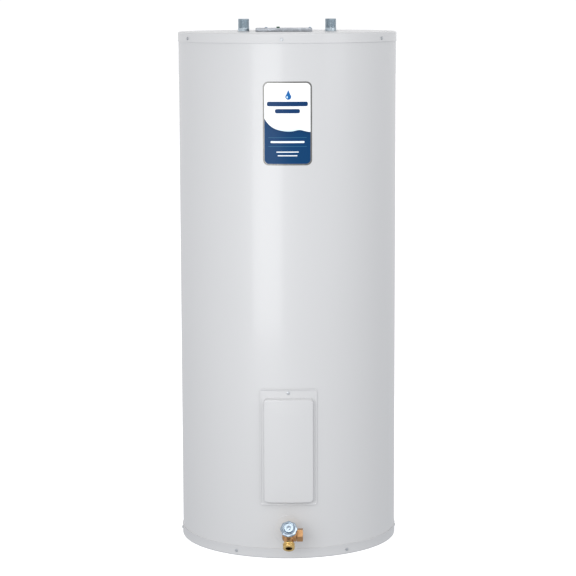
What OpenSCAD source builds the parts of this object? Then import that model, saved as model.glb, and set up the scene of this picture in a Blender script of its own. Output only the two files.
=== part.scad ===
// Upright electric tank water heater. Origin on the floor at the jacket's axis, +Z up, front towards -Y.

/* [Jacket and pans] */
// Outside diameter of the jacket
jacket_d = 508; // [500:1:520]
// Height of the top pan's flat above the floor
body_h = 1198; // [1190:1:1230]
// Thickness of the jacket's sheet steel
jacket_t = 0.8; // [0.6:0.1:1.0]
// Thickness of the pans' sheet steel
pan_t = 1; // [0.8:0.1:1.2]
// Depth of the top pan's lip
top_lip_h = 22.5; // [18:0.5:36]
// Depth of the bottom pan's lip
bottom_lip_h = 24; // [20:1:28]
// Radius of the pans' rolled edge
pan_edge_r = 4; // [3:0.5:6]
// Number of screws around each lip
lip_screws = 6; // [3:1:8]
// Angle of the top lip's first screw from the front, positive to the right
top_screw_az = -2.8; // [-20:0.1:20]
// Angle of the bottom lip's first screw from the front, positive to the right
bottom_screw_az = 31.7; // [20:0.1:40]

/* [Access panel] */
// Width of the panel's flat flange
flange_w = 130; // [126:1:134]
// Height of the flange's lower edge above the floor
flange_z0 = 125; // [120:1:128]
// Height of the flange's upper edge above the floor
flange_z1 = 395.5; // [394:0.5:400]
// Width of the raised middle
raised_w = 114; // [110:1:118]
// Height of the raised middle's lower edge
raised_z0 = 131; // [130:1:136]
// Height of the raised middle's upper edge
raised_z1 = 375; // [373:1:377]
// How far the raised middle stands out of the jacket
raised_out = 12; // [11:0.5:14]
// Corner radius of the raised middle
raised_r = 10; // [6:1:14]

/* [Label] */
// Width of the label around the jacket
label_w = 110.6; // [80:1:120]
// Height of the label
label_h = 187; // [150:0.5:200]
// Height of the label's middle above the floor
label_z = 997.5; // [980:0.5:1010]
// Corner radius of the label
label_r = 12.5; // [5:0.5:20]

/* [Pipe ports] */
// Distance between the centres of the two nipples
port_spacing = 203.2; // [200:0.1:205]
// Outside diameter of a 3/4 in pipe thread
pipe_d = 26.67; // [26.6:0.01:26.7]
// How far the nipples stand out of the top pan
nipple_out = 29; // [26:1:36]
// Height of the relief valve's port above the floor
relief_z = 1050; // [1030:1:1055]
// Height of the drain valve's port above the floor
drain_z = 68.5; // [66:0.5:70]

/* [Tank] */
// Outside diameter of the steel tank
tank_d = 432; // [428:1:436]
// Height of the seam between the tank's wall and its top head
tank_seam_z = 1085; // [1082:1:1088]
// Rise of the top head above the seam
head_rise = 60; // [56:1:62]
// Height of the element's port above the floor
element_z = 175; // [172:1:178]
// Length of the heating element inside the tank
element_len = 290; // [200:5:340]

/* [Junction box] */
// Width of the galvanised cover
cover_w = 131; // [129:1:133]
// Depth of the galvanised cover from front to back
cover_depth = 105; // [103:1:108]
// Height of the cover above the top pan
cover_h = 8; // [7:0.5:10]
// Diameter of the conduit knockout
knockout_d = 22.2; // [22:0.1:22.4]

/* [Drain valve] */
// Angle of the valve's stem above level
stem_tilt = 40; // [38:1:42]
// Angle of the hose outlet below level
outlet_tilt = 45; // [43:1:47]
// Diameter of the handwheel
wheel_d = 40; // [38:1:42]

/* [Hidden] */
$fn = 96;

// Clearances
touch = 0.1;
run_gap = 0.05;

// Jacket and pans
jacket_r = jacket_d / 2;
jacket_in = jacket_r - jacket_t;
lip_in = jacket_r + touch;
lip_out = lip_in + pan_t;
panel_in = jacket_r + 0.3;
label_t = 0.25;
seam_w = 14;
pan_under = body_h - pan_t;
port_hole_r = 16;
jacket_z0 = pan_edge_r + touch;
jacket_z1 = body_h - pan_edge_r - touch;
top_screw_z = body_h - 14;
bottom_screw_z = bottom_lip_h / 2;
screw_head_r = 3.8;
screw_r = 1.7;
screw_len = 11;
seam_az = 150;

// Access opening and the compartment behind it
opening_w = 100;
opening_z0 = 140;
opening_z1 = 368;
opening_z = (opening_z0 + opening_z1) / 2;
dam_w = 112;
dam_h = 240;
dam_t = 5;
panel_screw_z = 387;
pad_front_y = 249.5;
pad_gap = 4;

// Tank
tank_r = tank_d / 2;
tank_t = 2;
head_t = 2.5;
skirt_z = 16;
bottom_seam_z = 40;
bottom_rise = 50;
head_R = cap_radius(tank_r, head_rise);
bottom_in_r = tank_r - tank_t - touch;
bottom_R = cap_radius(bottom_in_r, bottom_rise);

// Ports: nipples, spuds and valves share the 3/4 in thread
pipe_r = pipe_d / 2;
bore_r = 10.46;
shank_r = 12.7;
flow_r = 6.5;
port_x = port_spacing / 2;
nipple_z0 = 1119;
nipple_z1 = body_h + nipple_out;
thread_len = 22;
seal_h = 3.6;
trap_z = nipple_z1 - 42;
dip_z0 = 230;
dip_z1 = nipple_z1 - 50;
dip_in_r = 7.4;
spud_r = 18;
spud_h = 24;
spud_top_z = 1142;
spud_z0 = spud_top_z - spud_h;
shank_z0 = tank_r - 12;
anode_y = 130;
anode_r = 10.5;
anode_z0 = 350;
anode_z1 = 1105;
core_r = 1.6;
plug_hex = 27;
plug_h = 13;
well_r = 20.5;

// Junction box and the conduit that leaves its front wall
box_x = 2;
box_y = -22.5;
box_w = 86;
box_depth = 75;
box_z0 = 1160;
box_t = 1;
cover_x = -7.5;
cover_screw_dx = 51;
ground_x = -21;
ground_y = -42.5;
conduit_x = -18;
conduit_r = 8;
conduit_bend_r = 30;
conduit_z = 1172;
conduit_bend_y = -205;
compartment_top_z = opening_z + dam_h / 2;
lead_r = 1.5;
lead_orbit = 3.2;
lead_down_z = 352;
lead_in_y = -40;

// Drain valve, measured along its stem and its outlet from the centre of its globe
globe_y = -302;
globe_r = 15;
stem_r = 4;
plunger_r = 6;
bonnet_r = 12;
seat_t = -5;
washer_t = 3;
shoulder_t = 14;
bonnet_end_t = 21;
nut_end_t = 26;
wheel_t = 28;
wheel_h = 9;
outlet_end_t = 36;
outlet_neck_r = 11;
outlet_bore_r = 7.5;
hose_r = 13.49;
hose_len = 12;
side_face_x = 18;
side_bore_r = 9;
drain_hex_y = 266;
drain_hex_h = 11;
wheel_face_r = 14.5;
wheel_rim_h = 5.5;
wheel_ring = [10.5, 13];

// Relief valve, measured along +Y from the tank's axis
valve_seat_y = 276;
probe_y = 150;
discharge_y = 283.5;
bonnet_y0 = 300;
bonnet_y1 = 338;
lever_pin_y = 346;
disc_t = 5;
spring_r = 6.6;
spring_wire_r = 0.8;
spring_turns = 6;
discharge_drop = 40;
discharge_bore_r = 9;
discharge_r = 12.2;
discharge_len = 18;
relief_hex_y = 261;
relief_hex_h = 12;
relief_body_r = 17;
bonnet_flange_h = 6;
seat_bore_r = 12.5;
valve_stem_r = 2;
lever_pin_r = 1.25;
lever_w = 14;
lever_t = 2;
lever_len = 50;
fork_x = 4;

// Element and controls, measured from the tank's axis towards the front
spud_front = 224;
element_spud_r = 24;
element_r = 16.5;
gasket_r = 23.5;
terminal_dx = 9;
binding_dx = 21;
gasket_front = 226.5;
hex_front = 234;
terminal_front = 243;
hairpin_r = 4;
hairpin_gap = 20;
thermo_z = 252;
thermo_h = 44;
limit_z = 298;
limit_h = 40;
control_w = 60;
control_back = 218;
control_front = 238;
terminal_hole_r = 2.1;
cover_front = 247.2;
reset_x = 14;
dial_r = 11.5;

// Radius of the ball whose cap has this base radius and rise
function cap_radius(r, rise) = (r * r + rise * rise) / (2 * rise);

// Turns +Z to point at the front, and to the back
module facing_front() rotate([90, 0, 0]) children();
module facing_back() rotate([-90, 0, 0]) children();

// Places a piece that points outwards on a round skin, at an angle from the front
module on_skin(az, z, r) rotate([0, 0, az]) translate([0, -r, z]) facing_front() children();

// Places a piece t along the drain valve's stem, or along its outlet
module on_stem(t) translate([0, globe_y, drain_z]) rotate([90 - stem_tilt, 0, 0]) translate([0, 0, t])
    children();
module on_outlet(t) translate([0, globe_y, drain_z]) rotate([90 + outlet_tilt, 0, 0])
    translate([0, 0, t]) children();

module tube(r_out, r_in, h) difference() {
    cylinder(r = r_out, h = h);
    translate([0, 0, -1]) cylinder(r = r_in, h = h + 2);
}

module hex_bar(across, h) cylinder(r = across / sqrt(3), h = h, $fn = 6);

module round_rect(w, h, r) {
    square([w - 2 * r, h], center = true);
    square([w, h - 2 * r], center = true);
    for (x = [-1, 1], y = [-1, 1]) translate([x * (w / 2 - r), y * (h / 2 - r)]) circle(r);
}

// A round-cornered block that reaches forwards from the axis, between heights z0 and z1
module front_block(w, z0, z1, r, reach = 300) translate([0, 0, (z0 + z1) / 2]) facing_front()
    linear_extrude(reach) round_rect(w, z1 - z0, r);

// A patch of a round skin across the front
module front_patch(w, z0, z1, r, r_in, r_out) intersection() {
    translate([0, 0, z0 - 1]) tube(r_out, r_in, z1 - z0 + 2);
    front_block(w, z0, z1, r);
}

// A box between two corners
module block(a, b) translate(a) cube(b - a);

// A pan of radius r and depth h, open at the bottom, whose upper edge is rolled to radius e
module pan_solid(r, h, e) rotate_extrude() {
    square([r, h - e]);
    square([r - e, h]);
    translate([r - e, h - e]) intersection() {
        circle(e);
        square(e);
    }
}
module pan(h) difference() {
    pan_solid(lip_out, h, pan_edge_r);
    translate([0, 0, -1]) pan_solid(lip_in, h + 1 - pan_t, pan_edge_r - pan_t);
}

// The lip screws' places, pointing outwards
module at_screws(az, z, r) for (i = [0 : lip_screws - 1])
    on_skin(az + i * 360 / lip_screws, z, r) children();
module at_lip_screws(r) {
    at_screws(top_screw_az, top_screw_z, r) children();
    at_screws(bottom_screw_az, bottom_screw_z, r) children();
}
module sheet_screw() {
    cylinder(r = screw_head_r, h = 1.2);
    translate([0, 0, 1.2]) cylinder(r1 = screw_head_r, r2 = 2.4, h = 1);
    translate([0, 0, -screw_len]) cylinder(r = screw_r, h = screw_len);
}
module screw_hole() translate([0, 0, -screw_len - 1]) cylinder(r = screw_r + touch, h = screw_len + 3);

// Both nipple places
module at_ports() for (x = [-port_x, port_x]) translate([x, 0, 0]) children();

// The drain port and the relief port, with +Z pointing out of the tank
module at_drain() translate([0, 0, drain_z]) facing_front() children();
module at_relief() translate([0, 0, relief_z]) facing_back() children();

// A domed head's solid of radius R that rises over base height z
module cap(R, rise, r, z) intersection() {
    translate([0, 0, z + rise - R]) sphere(R, $fn = 180);
    translate([0, 0, z]) cylinder(r = r, h = rise + 5);
}

// The conduit's route: up the front, a quarter bend, then back into the junction box
module conduit_run(dx, dr, r, z0, y1) {
    x = conduit_x + dx;
    bend_z = conduit_z - conduit_bend_r;
    bend = conduit_bend_r + dr;
    translate([x, conduit_bend_y - bend, z0]) cylinder(r = r, h = bend_z - z0);
    translate([x, conduit_bend_y, bend_z]) rotate([90, 0, -90])
        rotate_extrude(angle = 90) translate([bend, 0]) circle(r);
    translate([x, conduit_bend_y, bend_z + bend]) facing_back() cylinder(r = r, h = y1 - conduit_bend_y);
}

module wire(points, r) {
    for (i = [1 : len(points) - 1]) {
        v = points[i] - points[i - 1];
        translate(points[i - 1]) rotate([0, acos(v.z / norm(v)), atan2(v.y, v.x)])
            cylinder(r = r, h = norm(v));
    }
    for (i = [1 : len(points) - 2]) translate(points[i]) sphere(r * 1.02);
}

// ---- Skin ----

module outer_jacket() color("gainsboro") difference() {
    union() {
        translate([0, 0, jacket_z0]) tube(jacket_r, jacket_in, jacket_z1 - jacket_z0);
        rotate([0, 0, seam_az]) front_patch(seam_w, bottom_lip_h + 3, body_h - top_lip_h - 3, 2,
            jacket_r - jacket_t / 2, jacket_r + jacket_t);
    }
    front_block(opening_w, opening_z0, opening_z1, 6);
    at_drain() translate([0, 0, tank_r]) cylinder(r = spud_r, h = 60);
    at_relief() translate([0, 0, tank_r]) cylinder(r = spud_r, h = 60);
    on_skin(0, panel_screw_z, jacket_r) translate([0, 0, -5]) cylinder(r = screw_r + 0.5, h = 10);
    at_lip_screws(lip_out) screw_hole();
}

module top_pan() color("gainsboro") difference() {
    translate([0, 0, body_h - top_lip_h]) pan(top_lip_h);
    at_ports() translate([0, 0, pan_under - 1]) cylinder(r = port_hole_r, h = pan_t + 2);
    translate([0, anode_y, pan_under - 1]) cylinder(r = well_r, h = pan_t + 2);
    translate([box_x, box_y, pan_under + pan_t / 2])
        cube([box_w - 2 * box_t, box_depth - 2 * box_t, pan_t + 2], center = true);
    for (s = [-1, 1]) translate([box_x + s * cover_screw_dx, box_y, pan_under - 1])
        cylinder(r = screw_r + 0.5, h = pan_t + 2);
    at_lip_screws(lip_out) screw_hole();
}

module bottom_pan() color("gainsboro") difference() {
    translate([0, 0, bottom_lip_h]) mirror([0, 0, 1]) pan(bottom_lip_h);
    at_lip_screws(lip_out) screw_hole();
}

module pan_screws() color("silver") at_lip_screws(lip_out + touch / 2) sheet_screw();

module front_label() color("navy") front_patch(2 * jacket_r * sin(label_w / jacket_r * 90 / PI),
    label_z - label_h / 2, label_z + label_h / 2, label_r, jacket_r, jacket_r + label_t);

module access_panel() color("gainsboro") difference() {
    union() {
        front_patch(flange_w, flange_z0, flange_z1, 4, panel_in, panel_in + jacket_t);
        front_patch(raised_w, raised_z0, raised_z1, raised_r, panel_in, jacket_r + raised_out);
    }
    intersection() {
        translate([0, 0, raised_z0])
            cylinder(r = jacket_r + raised_out - jacket_t, h = raised_z1 - raised_z0);
        front_block(raised_w - 2 * jacket_t, raised_z0 + jacket_t, raised_z1 - jacket_t,
            raised_r - jacket_t);
    }
    on_skin(0, panel_screw_z, jacket_r) translate([0, 0, -5]) cylinder(r = screw_r + touch, h = 10);
}

module access_panel_screw() color("silver")
    on_skin(0, panel_screw_z, panel_in + jacket_t + run_gap) sheet_screw();

module panel_insulation_pad() color("khaki") intersection() {
    cylinder(r = jacket_r + raised_out - jacket_t - 0.4, h = raised_z1);
    translate([0, -pad_front_y, 0])
        front_block(opening_w - 2 * pad_gap, opening_z0 + pad_gap, opening_z1 - pad_gap, 6, 40);
}

// ---- Insulation ----

module compartment_dam() color("ivory") difference() {
    intersection() {
        cylinder(r = jacket_in - touch, h = compartment_top_z + 5);
        front_block(dam_w, opening_z - dam_h / 2, compartment_top_z, 8);
    }
    cylinder(r = tank_r + touch, h = compartment_top_z + 5);
    front_block(dam_w - 2 * dam_t, opening_z - dam_h / 2 + dam_t, compartment_top_z - dam_t, 4);
    conduit_run(0, 0, conduit_r + touch, compartment_top_z - 8, lead_in_y);
    on_skin(0, panel_screw_z, jacket_r) translate([0, 0, -screw_len - 1])
        cylinder(r = screw_r + 0.5, h = screw_len + 4);
}

module foam_insulation() color("cornsilk") difference() {
    union() {
        translate([0, 0, skirt_z]) cylinder(r = jacket_in - touch, h = jacket_z1 - skirt_z);
        translate([0, 0, jacket_z1]) cylinder(r = lip_in - pan_edge_r, h = pan_under - touch - jacket_z1);
    }
    cylinder(r = tank_r + touch, h = tank_seam_z + touch);
    cap(head_R + touch, head_rise + touch, tank_r + touch, tank_seam_z);
    front_block(dam_w + 2 * touch, opening_z - dam_h / 2 - touch, compartment_top_z + touch, 8);
    at_drain() cylinder(r = spud_r + touch, h = jacket_r);
    at_relief() cylinder(r = spud_r + touch, h = jacket_r);
    at_ports() {
        translate([0, 0, spud_z0 - 1]) cylinder(r = spud_r + touch, h = spud_h + 1 + touch);
        translate([0, 0, spud_z0]) cylinder(r = port_hole_r, h = body_h - spud_z0);
    }
    translate([0, anode_y, spud_z0 - 1]) cylinder(r = well_r, h = body_h - spud_z0 + 1);
    translate([box_x, box_y, box_z0 + 30])
        cube([box_w + 2 * touch, box_depth + 2 * touch, 60 + 2 * touch], center = true);
    for (s = [-1, 1]) translate([box_x + s * cover_screw_dx, box_y, pan_under - 10])
        cylinder(r = screw_r + 0.5, h = 12);
    conduit_chase();
    on_skin(0, panel_screw_z, jacket_r) translate([0, 0, -screw_len - 1])
        cylinder(r = screw_r + 0.5, h = screw_len + 4);
    at_screws(top_screw_az, top_screw_z, lip_out) screw_hole();
}

// Square-cornered room in the foam for the conduit and its bend
module conduit_chase() {
    r = conduit_r + touch;
    y = conduit_bend_y - conduit_bend_r;
    block([conduit_x - r, y - r, compartment_top_z - 1], [conduit_x + r, y + r, conduit_z + r]);
    block([conduit_x - r, y + r, conduit_z - 36], [conduit_x + r, conduit_bend_y + 2, conduit_z + r]);
    block([conduit_x - r, conduit_bend_y + 1, conduit_z - r], [conduit_x + r, box_y, conduit_z + r]);
}

module base_insulator() color("khaki") translate([0, 0, pan_t + touch / 2])
    cylinder(r = jacket_in - screw_len - 2, h = skirt_z - pan_t - touch);

// ---- Tank ----

module tank_shell() color("slategray") difference() {
    translate([0, 0, skirt_z]) tube(tank_r, tank_r - tank_t, tank_seam_z - skirt_z);
    at_drain() translate([0, 0, tank_r - 20]) cylinder(r = spud_r + run_gap, h = 40);
    at_relief() translate([0, 0, tank_r - 20]) cylinder(r = spud_r + run_gap, h = 40);
    translate([0, 0, element_z]) facing_front() translate([0, 0, tank_r - 20])
        cylinder(r = element_spud_r + run_gap, h = 40);
}

module tank_top_head() color("slategray") difference() {
    cap(head_R, head_rise, tank_r, tank_seam_z);
    translate([0, 0, tank_seam_z + head_rise - head_R]) sphere(head_R - head_t, $fn = 180);
    at_ports() translate([0, 0, nipple_z0 - 20]) cylinder(r = spud_r + run_gap, h = 60);
    translate([0, anode_y, nipple_z0 - 20]) cylinder(r = spud_r + run_gap, h = 60);
}

module tank_bottom_head() color("slategray") difference() {
    cap(bottom_R, bottom_rise, bottom_in_r, bottom_seam_z);
    translate([0, 0, bottom_seam_z + bottom_rise - bottom_R]) sphere(bottom_R - head_t, $fn = 180);
}

module pipe_spuds() color("dimgray") {
    for (p = [[-port_x, 0], [port_x, 0], [0, anode_y]]) translate([p.x, p.y, spud_z0])
        tube(spud_r, pipe_r + run_gap, spud_h);
    at_drain() translate([0, 0, tank_r + 10 - spud_h]) tube(spud_r, pipe_r + run_gap, spud_h);
    at_relief() translate([0, 0, tank_r + 10 - spud_h]) tube(spud_r, pipe_r + run_gap, spud_h);
}

module element_spud() color("dimgray") translate([0, -spud_front + 20, element_z]) facing_front()
    tube(element_spud_r, element_r + touch, 20);

// Threaded at both ends, with a slimmer plain stretch between
module nipple() difference() {
    union() {
        translate([0, 0, nipple_z0]) cylinder(r = shank_r, h = nipple_z1 - nipple_z0);
        for (z = [nipple_z0, nipple_z1 - thread_len]) translate([0, 0, z])
            cylinder(r = pipe_r, h = thread_len);
    }
    translate([0, 0, nipple_z0 - 1]) cylinder(r = bore_r, h = nipple_z1 - nipple_z0 + 2);
}
module cold_nipple() color("lightsteelblue") translate([port_x, 0, 0]) nipple();
module hot_nipple() color("lightsteelblue") translate([-port_x, 0, 0]) nipple();

module nipple_seals() color("dimgray") at_ports() translate([0, 0, pan_under - 2])
    tube(port_hole_r - run_gap, shank_r + run_gap, seal_h);

// A ring with a thin flap across it, pressed into each nipple
module heat_traps() color("skyblue") at_ports() translate([0, 0, trap_z]) {
    tube(bore_r - run_gap, 8.4, 18);
    translate([0, 0, 9]) difference() {
        cylinder(r = 8.6, h = 0.8);
        translate([0, 0, -1]) linear_extrude(3) difference() {
            circle(8.2);
            circle(7.6);
            translate([-10, 5]) square([20, 10]);
        }
    }
}

module cold_dip_tube() color("ivory") translate([port_x, 0, 0]) {
    translate([0, 0, dip_z0]) tube(9, dip_in_r, dip_z1 - dip_z0);
    translate([0, 0, dip_z1]) tube(bore_r - run_gap, dip_in_r, 4);
}

module anode_rod() color("silver") translate([0, anode_y, anode_z0])
    tube(anode_r, core_r + touch / 2, anode_z1 - anode_z0);

module anode_core() color("dimgray") translate([0, anode_y, anode_z0 - 10]) {
    cylinder(r = core_r, h = spud_top_z - 17 - anode_z0 + 10);
    cylinder(r = 5, h = 9.9);
}

module anode_plug() color("darkgray") translate([0, anode_y, spud_top_z]) difference() {
    union() {
        translate([0, 0, -21]) cylinder(r = pipe_r, h = 21.2);
        translate([0, 0, touch]) hex_bar(plug_hex, plug_h);
    }
    translate([0, 0, -22]) cylinder(r = core_r + run_gap, h = 6);
}

module anode_cap() color("whitesmoke") translate([0, anode_y, body_h]) {
    translate([0, 0, -14]) cylinder(r = well_r - touch, h = 14.1);
    translate([0, 0, touch / 2]) cylinder(r = well_r + 3, h = 1.4);
}

// ---- Relief valve ----

module relief_valve_body() color("goldenrod") translate([0, 0, relief_z]) difference() {
    union() {
        facing_back() {
            translate([0, 0, shank_z0]) cylinder(r = pipe_r, h = 58);
            translate([0, 0, relief_hex_y]) hex_bar(32, relief_hex_h);
            translate([0, 0, relief_hex_y + relief_hex_h - 1])
                cylinder(r = relief_body_r, h = bonnet_y0 - relief_hex_y - relief_hex_h + 1);
        }
        translate([0, discharge_y, -discharge_drop]) cylinder(r = 16, h = discharge_drop);
    }
    facing_back() {
        translate([0, 0, shank_z0 - 1]) cylinder(r = flow_r, h = 72);
        translate([0, 0, valve_seat_y - 3]) cylinder(r = flow_r + 0.5, h = 10);
        translate([0, 0, valve_seat_y]) cylinder(r = seat_bore_r, h = 30);
    }
    translate([0, discharge_y, -discharge_drop - 1]) {
        cylinder(r = discharge_bore_r, h = discharge_drop + 1);
        cylinder(r = discharge_r, h = discharge_len + 1);
    }
}

module relief_valve_bonnet() color("goldenrod") translate([0, 0, relief_z]) facing_back() difference() {
    union() {
        translate([0, 0, bonnet_y0 + touch]) cylinder(r = 16, h = bonnet_flange_h);
        translate([0, 0, bonnet_y0 - 8]) cylinder(r = seat_bore_r - touch, h = 10);
        translate([0, 0, bonnet_y0 + bonnet_flange_h])
            cylinder(r = 13, h = bonnet_y1 - bonnet_y0 - bonnet_flange_h);
    }
    translate([0, 0, bonnet_y0 - 9]) cylinder(r = 10.5, h = bonnet_y1 - bonnet_y0 + 6);
    translate([0, 0, bonnet_y1 - 4]) cylinder(r = valve_stem_r + run_gap, h = 5);
}

// Seat disc and the stem that the lever pulls
module relief_valve_disc() color("goldenrod") translate([0, 0, relief_z]) facing_back() difference() {
    union() {
        translate([0, 0, valve_seat_y + touch]) cylinder(r = 9.5, h = disc_t);
        translate([0, 0, valve_seat_y + disc_t])
            cylinder(r = valve_stem_r, h = lever_pin_y - valve_seat_y);
    }
    translate([-10, 0, lever_pin_y]) rotate([0, 90, 0]) cylinder(r = lever_pin_r + run_gap, h = 20);
}

module relief_valve_probe() color("indianred") translate([0, 0, relief_z]) facing_back()
    translate([0, 0, probe_y]) cylinder(r = 4, h = valve_seat_y - probe_y);

// Round wire wound around Z, as rings of points joined into one skin
module coil_spring(r, wire_r, h, turns, sides = 8, steps = 14) {
    n = turns * steps;
    points = [for (i = [0 : n], j = [0 : sides - 1]) let (
        a = 360 * i / steps, b = 360 * j / sides, d = r + wire_r * cos(b))
        [d * cos(a), d * sin(a), h * i / n + wire_r * sin(b)]];
    sides_faces = [for (i = [0 : n - 1], j = [0 : sides - 1]) let (k = (j + 1) % sides)
        [i * sides + j, (i + 1) * sides + j, (i + 1) * sides + k, i * sides + k]];
    ends = [[for (j = [0 : sides - 1]) j], [for (j = [0 : sides - 1]) (n + 1) * sides - 1 - j]];
    polyhedron(points, concat(sides_faces, ends), convexity = 4);
}

module relief_valve_spring() color("silver") translate([0, 0, relief_z]) facing_back()
    translate([0, 0, valve_seat_y + touch + disc_t + spring_wire_r + touch])
        coil_spring(spring_r, spring_wire_r,
            bonnet_y1 - 4 - valve_seat_y - disc_t - 2 * spring_wire_r - 3.5, spring_turns);

module relief_lever_pin() color("silver") translate([-6.5, lever_pin_y, relief_z]) rotate([0, 90, 0])
    cylinder(r = lever_pin_r, h = 13);

// Forked lever that lies flat across the bonnet's end
module relief_valve_lever() color("silver") translate([0, lever_pin_y, relief_z]) difference() {
    union() {
        for (s = [-1, 1]) translate([s * fork_x - 0.75, 0, 0]) {
            rotate([0, 90, 0]) cylinder(r = 5, h = 1.5);
            translate([0, -1.5, 0]) cube([1.5, 5, 16]);
        }
        translate([-fork_x - 0.75, 1.5, 8]) cube([2 * fork_x + 1.5, lever_t, 10]);
        translate([-lever_w / 2, 1.5, 14]) cube([lever_w, lever_t, lever_len - 14]);
        translate([0, 1.5, lever_len]) facing_back() cylinder(r = lever_w / 2, h = lever_t);
    }
    translate([-10, 0, 0]) rotate([0, 90, 0]) cylinder(r = lever_pin_r + run_gap, h = 20);
}

module relief_escutcheon() color("gainsboro") rotate([0, 0, 180]) translate([0, 0, relief_z - 40])
    wall_ring(40);

// A thin ring that follows the jacket, centred h above its own origin
module wall_ring(h) difference() {
    intersection() {
        tube(jacket_r + 1.2, jacket_r + touch, 2 * h);
        translate([0, 0, h]) facing_front() cylinder(r = 35, h = 300);
    }
    translate([0, 0, h]) facing_front() cylinder(r = pipe_r + 0.5, h = 300);
}

// ---- Drain valve ----

module drain_valve_body() color("peru") difference() {
    union() {
        at_drain() translate([0, 0, shank_z0]) cylinder(r = pipe_r, h = -globe_y - 10 - shank_z0);
        at_drain() translate([0, 0, drain_hex_y]) hex_bar(30, drain_hex_h);
        on_stem(0) cylinder(r = bonnet_r, h = bonnet_end_t);
        on_outlet(0) cylinder(r = outlet_neck_r, h = outlet_end_t - 2);
        on_outlet(outlet_end_t - hose_len) cylinder(r = hose_r, h = hose_len);
        translate([-globe_r, globe_y, drain_z]) rotate([0, 90, 0])
            cylinder(r = globe_r, h = globe_r + side_face_x);
    }
    at_drain() translate([0, 0, shank_z0 - 1]) cylinder(r = flow_r, h = -globe_y - 8 - shank_z0);
    on_stem(-14) cylinder(r = 5, h = 20);
    on_stem(seat_t) cylinder(r = 8.5, h = shoulder_t - 1 - seat_t);
    on_stem(0) cylinder(r = plunger_r + run_gap, h = bonnet_end_t + 1);
    on_outlet(0) cylinder(r = outlet_bore_r, h = outlet_end_t + 1);
    translate([8, globe_y, drain_z]) rotate([0, 90, 0]) cylinder(r = side_bore_r, h = 20);
}

// Hexagonal plug in the valve's side port
module drain_side_plug() color("peru") translate([side_face_x + touch, globe_y, drain_z])
    rotate([0, 90, 0]) {
    translate([0, 0, -8]) cylinder(r = side_bore_r - run_gap, h = 8.5);
    intersection() {
        hex_bar(27, 14);
        translate([0, 0, -6]) cylinder(r1 = 34, r2 = 14, h = 20);
    }
}

module drain_packing_nut() color("silver") difference() {
    on_stem(shoulder_t + 1) hex_bar(28, nut_end_t - shoulder_t - 1);
    on_stem(shoulder_t) cylinder(r = bonnet_r + run_gap, h = bonnet_end_t + touch - shoulder_t);
    on_stem(shoulder_t) cylinder(r = stem_r + run_gap, h = 20);
}

module drain_stem() color("silver") {
    on_stem(seat_t + washer_t + 2 * touch)
        cylinder(r = plunger_r, h = shoulder_t - seat_t - washer_t - 2 * touch);
    on_stem(shoulder_t) cylinder(r = stem_r, h = wheel_t + wheel_h - 2 - shoulder_t);
}

module drain_washer() color("black") on_stem(seat_t + touch) cylinder(r = 7.5, h = washer_t);

// A lobed rim with a smaller raised face, which has a ring-shaped recess
module drain_handwheel() color("silver") on_stem(wheel_t) difference() {
    union() {
        cylinder(r = wheel_d / 2 - 1.5, h = wheel_rim_h);
        for (a = [0 : 45 : 359]) rotate([0, 0, a]) translate([wheel_d / 2 - 5, 0, 0.5])
            cylinder(r = 5, h = wheel_rim_h - 1);
        cylinder(r = wheel_face_r, h = wheel_h);
    }
    translate([0, 0, wheel_h - 3]) tube(wheel_ring[1], wheel_ring[0], 4);
    translate([0, 0, -1]) cylinder(r = stem_r, h = wheel_h + 2);
}

module drain_handle_screw() color("silver") on_stem(wheel_t + wheel_h - 2 + 0.02) difference() {
    union() {
        cylinder(r = stem_r - run_gap, h = 2.2);
        translate([0, 0, 2.05]) cylinder(r = 5.5, h = 2);
    }
    translate([-7, -0.6, 3]) cube([14, 1.2, 2]);
}

module drain_escutcheon() color("gainsboro") translate([0, 0, drain_z - 40]) wall_ring(40);

// ---- Element and controls ----

module heating_element() color("silver") translate([0, 0, element_z]) difference() {
    union() {
        facing_front() {
            translate([0, 0, gasket_front - 20]) cylinder(r = element_r, h = 21);
            translate([0, 0, gasket_front]) hex_bar(38, hex_front - gasket_front);
        }
        for (s = [-1, 1]) translate([0, -tank_r + 5, s * hairpin_gap / 2]) facing_back()
            cylinder(r = hairpin_r, h = element_len);
        translate([0, element_len - tank_r + 5, 0]) rotate([0, 90, 0])
            rotate_extrude(angle = 180) translate([hairpin_gap / 2, 0]) circle(hairpin_r);
    }
    translate([0, -hex_front - 1, 0]) facing_back() cylinder(r = 5, h = 4);
}

module element_gasket() color("black") translate([0, -spud_front - touch / 2, element_z]) facing_front()
    tube(gasket_r, element_r + touch, gasket_front - spud_front - touch);

module element_terminal_block() color("dimgray") difference() {
    block([-17, -terminal_front, element_z - 10], [17, -hex_front - touch / 2, element_z + 10]);
    for (s = [-1, 1]) translate([s * terminal_dx, -terminal_front - 1, element_z]) facing_back()
        cylinder(r = terminal_hole_r, h = 6);
}

// Binding screws of the element, the thermostat and the limit control
module terminal_screws() color("goldenrod") {
    for (s = [-1, 1]) {
        translate([s * terminal_dx, -terminal_front - run_gap, element_z]) facing_front()
            binding_screw();
        for (z = [thermo_z - 14, limit_z + 12])
            translate([s * binding_dx, -control_front - run_gap, z]) facing_front() binding_screw();
    }
}
module binding_screw() {
    cylinder(r = 3.6, h = 2.2);
    translate([0, 0, -4]) cylinder(r = 2, h = 4.5);
}

module thermostat_bracket() color("silver") difference() {
    union() {
        block([-32.2, -220.2, element_z - 28], [32.2, -219, thermo_z - thermo_h / 2 - 2]);
        for (s = [-1, 1]) translate([s * 31.6, 0, 0])
            block([-0.6, -236, thermo_z - thermo_h / 2 - 12], [0.6, -219, limit_z + limit_h / 2]);
    }
    translate([0, 0, element_z]) facing_front() cylinder(r = element_spud_r + 0.2, h = 260);
}

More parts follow.
